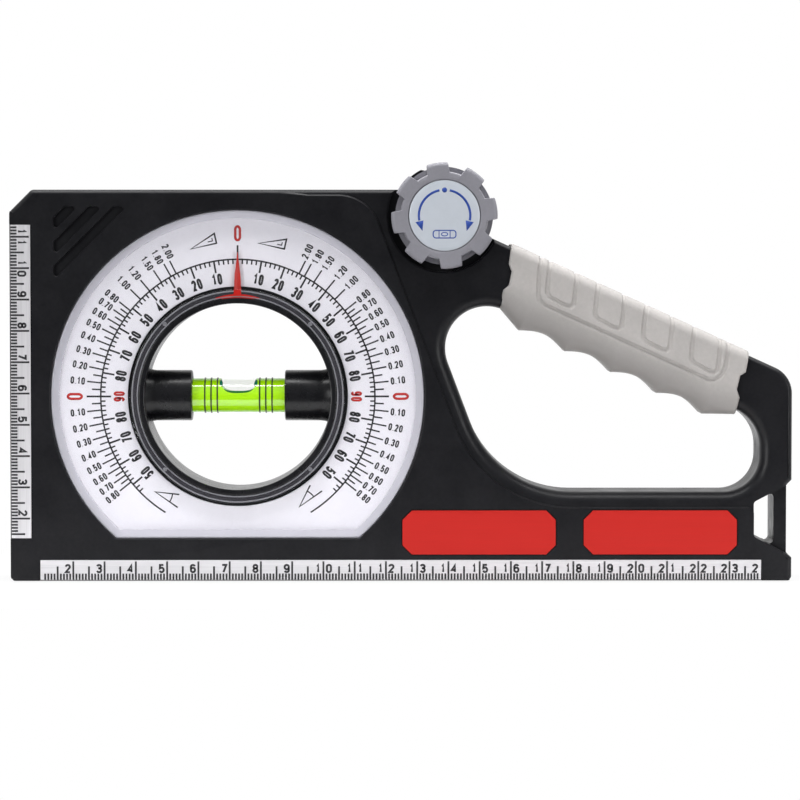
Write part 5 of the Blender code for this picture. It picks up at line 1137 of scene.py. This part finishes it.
def channel_lines():
    """The middle lines of the channels, as (along, drop) lines: one frame and four pads, each open at the top."""
    frame_line = [(9.94, 0.1), (10.8, 4.2), (12.8, 9.5), (13.6, 11.4), (15.0, 12.9), (17.0, 13.6), (74.3, 13.6),
                  (76.2, 12.8), (77.3, 11.1), (77.7, 9.0), (77.5, 7.1), (75.75, 1.0), (75.5, -0.3)]
    pad_line = [(12.98, 0.2), (13.9, 3.9), (15.4, 8.3), (16.0, 9.7), (17.1, 10.6), (23.3, 11.0), (24.6, 10.6),
                (25.2, 9.6), (24.3, 6.7), (22.2, 0.4), (21.9, -0.8)]
    lines = [frame_line] + [[(along + 16.86 * i, drop) for along, drop in pad_line] for i in range(4)]
    return [np.array([(line[0][0], -20.0), *line, (line[-1][0], -20.0)]) for line in lines]


def distance_to(lines, points):
    """The least distance from each point to any segment: the foot of the perpendicular, held inside it."""
    least = np.full(points.shape[:-1], 1e9)
    for line in lines:
        for start, end in zip(line, line[1:]):
            run = end - start
            share = np.clip((points - start) @ run / (run @ run), 0, 1)
            least = np.minimum(least, np.linalg.norm(points - start - share[..., None] * run, axis=-1))
    return least


def beside(*parts):
    """Parts of a section side by side, each a column for every station or one row for all of them."""
    rows = max(len(part) for part in parts)
    return np.concatenate([np.broadcast_to(part, (rows, part.shape[1])) for part in parts], axis=1)


class RULER_OT_grip(bpy.types.Operator):
    """Builds the moulded grip: round upper edges, finger hollows, pad channels and a parting line"""
    bl_idname = "ruler.grip"
    bl_label = "Grip"

    def execute(self, context):
        # Stations run along the handle, and both ends turn in by a small round.
        top, low, tall, wide, turn_in = sizes().grip_round / MM, 6.2, 8.6, 13.8, 0.9
        start, end = GRIP_LEFT[-1], GRIP_RIGHT[-1]
        stops = [start, *np.linspace(FIRST_CUSP, LAST_CUSP, 5), end]
        base = np.concatenate([np.linspace(a, b, 60, endpoint=False) for a, b in zip(stops, stops[1:])] + [[end]])
        turns, still = np.linspace(0, QUARTER, 7)[:-1], 0 * base
        inset = np.concatenate([turn_in * (1 - np.sin(turns)), still, turn_in * (1 - np.sin(turns[::-1]))])[:, None]
        shift = np.concatenate([-turn_in * np.cos(turns), still, turn_in * np.cos(turns[::-1])])[:, None]
        base = np.concatenate([np.full(6, start), base, np.full(6, end)])[:, None]
        share = (base - start) / (end - start)
        bottom = finger_drop(base) - inset
        # Each station has half a section from the top's middle, over the front corner, down the face, round the
        # lower corner and to the bottom's middle. The lower corner is a quarter ellipse, taller than it is deep.
        flat = np.array([[0, 0.12, 0.3, 0.5, *np.linspace(0.9, wide - top, 14)[:-1]]])
        bend, fall = np.linspace(0, QUARTER, 13)[None], np.linspace(0, QUARTER, 36)[None]
        side = np.linspace(0, 1, 50)[None, 1:-1]
        under = np.array([[*np.linspace(wide - low, 0.9, 10)[1:], 0.5, 0.3, 0.12, 0]])
        half = beside(flat, wide - top + top * np.sin(bend) - inset * (bend > 0), wide - inset + 0 * side,
                      wide - low + low * np.cos(fall) - inset, under)
        drop = beside(inset + 0 * flat, top - top * np.cos(bend) + inset * (1 - np.sin(bend)),
                      top + (bottom - tall - top) * side, bottom - tall + tall * np.sin(fall), bottom + 0 * under)
        # A channel sinks along the section's normal, a drop part and a half width part. Its place is found on the
        # section unrolled, where the top runs on above the face.
        into_drop = beside(1 + 0 * flat, np.cos(bend), 0 * side, -np.sin(fall), -1 + 0 * under)
        into_half = -np.sqrt(np.maximum(1 - into_drop**2, 0))
        unrolled = beside(-0.571 * top - (wide - top - flat), top * (1 - (QUARTER - bend)),
                          drop[:, flat.size + bend.size:])
        left, right = np.interp(drop, GRIP_DROPS, GRIP_LEFT), np.interp(drop, GRIP_DROPS, GRIP_RIGHT)
        along = left + share * (right - left) + shift
        away = distance_to(channel_lines(), np.stack([along, unrolled], axis=-1))
        wall = np.clip((sizes().channel_width / MM / 2 - away) / 0.45, 0, 1)
        depth = sizes().channel_depth / MM * wall * wall * (3 - 2 * wall)
        depth = depth + 0.3 * np.clip(1 - half / 0.32, 0, 1)
        drop, half = drop + into_drop * depth, half + into_half * depth * (half > 0.6)
        x, z = np.moveaxis(on_grip(along, drop), -1, 0)
        # The back half mirrors the front. Each end is closed from its rim to a middle line.
        x, z = (np.concatenate([plan, plan[:, -2:0:-1]], axis=1) for plan in (x, z))
        off = np.concatenate([-half, half[:, -2:0:-1]], axis=1)
        grip = Shape().sheet(x, MIDDLE + off, z)
        for row in (0, -1):
            grip.sheet(x[row], MIDDLE + off[row] * np.array([(1,), (0.2,), (0,)]), z[row])
        dressed(add_object("grip", grip), "grip", replaces=["grip_front", "grip_rear"], sharp=40)
        return {"FINISHED"}


# ---- Scales, plates and the finishes of nodes that keep their shape

class RULER_OT_scales(bpy.types.Operator):
    """Prints the centimetre scales on the base strip and on the side strip"""
    bl_idname = "ruler.scales"
    bl_label = "Scale print"

    def execute(self, context):
        line, depth, row, high, wide, pen = sizes().strip_line / MM, STRIP_FRONT - PRINT_GAP, 3.95, 2.95, 1.95, 0.66
        ruled = Shape()
        for first, last, numbers, apart, flip, way in ((11, 239, 24, -1.75, 1, np.array([1.0, 0.0])),
                                                       (15, 113, 12, 1.75, -1, np.array([0.0, -1.0]))):
            # A place is (along, in) from the corner, turned round for the side strip.
            along = np.arange(first, last + 1.0)
            reach = STRIP_EDGE + np.where(along % 10 == 0, 5.9, np.where(along % 5 == 0, 4.3, 2.0))
            starts, ends = (np.stack([along, inward], axis=1)[:, ::flip] for inward in (0 * along + 0.4, reach))
            ruled.marks(starts, ends, line, depth)
            for centimetres in range(2, numbers):
                for index, figure in enumerate(str(centimetres)):
                    place = np.array([10.0 * centimetres + apart * (1 - 2 * index), row])[::flip]
                    number(ruled, figure, place, way, high, 1.2 if figure == "1" else wide, 0.0, pen, depth)
        number(ruled, "2", np.array([238.2, row]), np.array([1.0, 0.0]), high, wide, 0.0, pen, depth)
        inked("scale_print", ruled, "ink")
        return {"FINISHED"}


KEPT_NODES = {
    "base_strip": ["bottom_scale"], "side_strip": ["side_scale"], "plate": ["red_label_1", "red_label_2"],
    "magnet": [f"base_magnet_{i}" for i in range(1, 5)], "nylon": ["ring_gear", "idler_gear", "drive_pinion"],
    "steel": ["idler_pin", "knob_screw"] + [f"ring_screw_{i}" for i in range(1, 5)],
    "washer": ["knob_washer"], "ring": ["vial_plug"],
}


class RULER_OT_kept_nodes(bpy.types.Operator):
    """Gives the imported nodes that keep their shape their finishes: strips, name plates, magnets, gears and screws"""
    bl_idname = "ruler.kept_nodes"
    bl_label = "Finishes of kept nodes"

    def execute(self, context):
        for look, nodes in KEPT_NODES.items():
            for node in nodes:
                slots = bpy.data.objects[node].material_slots
                if not slots:
                    raise RuntimeError(f"{node} has no material slot")
                for slot in slots:
                    slot.material = finish(look)
        return {"FINISHED"}


# ---- The stage

def stand(name, data, place, target):
    """Puts a lamp or a camera at a place, turned to a target."""
    item = bpy.data.objects.new(name, data)
    bpy.context.scene.collection.objects.link(item)
    item.location = place
    item.rotation_euler = (Vector(target) - item.location).to_track_quat("-Z", "Y").to_euler()
    return item


LAMPS = {  # place, target, size and power
    "key": ((0.0, -0.85, 2.4), (0.0, -0.013, 0.06), (3.0, 0.45), 40.0),
    "left": ((-1.15, -1.15, 0.2), (0.0, -0.013, 0.05), (0.5, 0.7), 10.2),
    "right": ((1.15, -1.15, 0.2), (0.0, -0.013, 0.05), (0.5, 0.7), 7.8),
    "top": ((0.0, 0.05, 0.75), (0.0, 0.03, 0.0), (1.2, 0.3), 7.0),
}
WHITE = {"Color": (1.0, 1.0, 1.0), "Strength": 1.0}


def floor_material():
    """Pale matt floor that takes shadows, and for the camera and clear parts nears the white round it."""
    r = Recipe(bpy.data.materials.new("floor"))
    r.tree.nodes.remove(r.tree.nodes["Principled BSDF"])
    matt = r.node("BsdfDiffuse", {"Color": r.blend(r.noise(6.0), (0.80, 0.80, 0.80), (0.84, 0.84, 0.84))})
    away = r.node("VectorMath", {0: r.place((0.4, 2.0, 1.0))}, output="Value", operation="LENGTH")
    share = r.seen_by("Camera", "Transmission") * r.spread(away, 0.12, 0.2, 0.86, 1.0)
    mixed = r.node("MixShader", {0: share, 1: matt, 2: r.node("Emission", WHITE)})
    r.put(r.tree.nodes["Material Output"].inputs["Surface"], mixed)
    return r.owner


def surroundings():
    """Soft even light, and white where the camera, gloss or a clear part looks away to the back."""
    r = Recipe(bpy.data.worlds.new("surroundings"))
    soft, heading = r.tree.nodes["Background"], r.node("TexCoord", output="Generated")
    ahead = r.node("SeparateXYZ", {0: heading}, output="Y") > 0.05
    above = r.spread(r.node("SeparateXYZ", {0: heading}, output="Z"), 0.0, 1.0)
    r.put(soft.inputs["Color"], r.blend(above, (0.09, 0.092, 0.098), (0.46, 0.47, 0.49)))
    share = r.seen_by("Glossy", "Transmission") * ahead + r.seen_by("Camera")
    mixed = r.node("MixShader", {0: share, 1: Field(r, soft.outputs[0]), 2: r.node("Background", WHITE)})
    r.put(r.tree.nodes["World Output"].inputs["Surface"], mixed)
    return r.owner


class RULER_OT_stage(bpy.types.Operator):
    """Sets the pale floor, the bright surroundings, four soft lamps and the camera"""
    bl_idname = "ruler.stage"
    bl_label = "Stage"

    def execute(self, context):
        scene = context.scene
        scene.view_settings.view_transform = "Standard"
        left, right, front, back, below = -9000, 9000, -112, 30000, -0.4
        floor = [(left, front, below), (right, front, below), (right, back, below), (left, back, below)]
        plane = add_object("floor", Shape().add(np.array(floor, float) + CORNER, [(0, 1, 2, 3)]))
        plane.data.materials.append(floor_material())
        scene.world = surroundings()
        for name, (place, target, size, power) in LAMPS.items():
            lamp = bpy.data.lights.new(name, "AREA")
            lamp.shape, lamp.size, lamp.size_y, lamp.energy = "RECTANGLE", *size, power
            stand(name, lamp, place, target)
        camera = bpy.data.cameras.new("camera")
        camera.sensor_width, camera.lens = 36.0, 163.6
        scene.camera = stand("camera", camera, (-0.0074, -1.173, 0.110), (-0.0005, -0.013, 0.0579))
        return {"FINISHED"}


# ---- Sidebar, registration and the run

STEPS = (RULER_OT_stage, RULER_OT_case_front, RULER_OT_case_rear, RULER_OT_screws, RULER_OT_dial,
         RULER_OT_dial_print, RULER_OT_ring, RULER_OT_clear_ring, RULER_OT_pointer, RULER_OT_level, RULER_OT_knob,
         RULER_OT_grip, RULER_OT_scales, RULER_OT_kept_nodes)


class RULER_PT_looks(bpy.types.Panel):
    """Lists the ruler's sizes, its colours and the steps that build it"""
    bl_idname = "RULER_PT_looks"
    bl_label = "Slope ruler"
    bl_space_type = "VIEW_3D"
    bl_region_type = "UI"
    bl_category = "Slope ruler"

    def draw(self, context):
        for title, group in (("Sizes", context.scene.ruler_sizes), ("Colours", context.scene.ruler_colours)):
            box = self.layout.box()
            box.label(text=title)
            for name in group.__annotations__:
                box.prop(group, name)
        for step in STEPS:
            self.layout.operator(step.bl_idname)


CLASSES = (RulerSizes, RulerColours, *STEPS, RULER_PT_looks)


def register():
    for cls in CLASSES:
        bpy.utils.register_class(cls)
    bpy.types.Scene.ruler_sizes = PointerProperty(type=RulerSizes)
    bpy.types.Scene.ruler_colours = PointerProperty(type=RulerColours)


def unregister():
    del bpy.types.Scene.ruler_colours, bpy.types.Scene.ruler_sizes
    for cls in reversed(CLASSES):
        bpy.utils.unregister_class(cls)


def main():
    """Runs every step in order."""
    register()
    for step in STEPS:
        group, name = step.bl_idname.split(".")
        getattr(getattr(bpy.ops, group), name)()


if __name__ == "__main__":
    main()
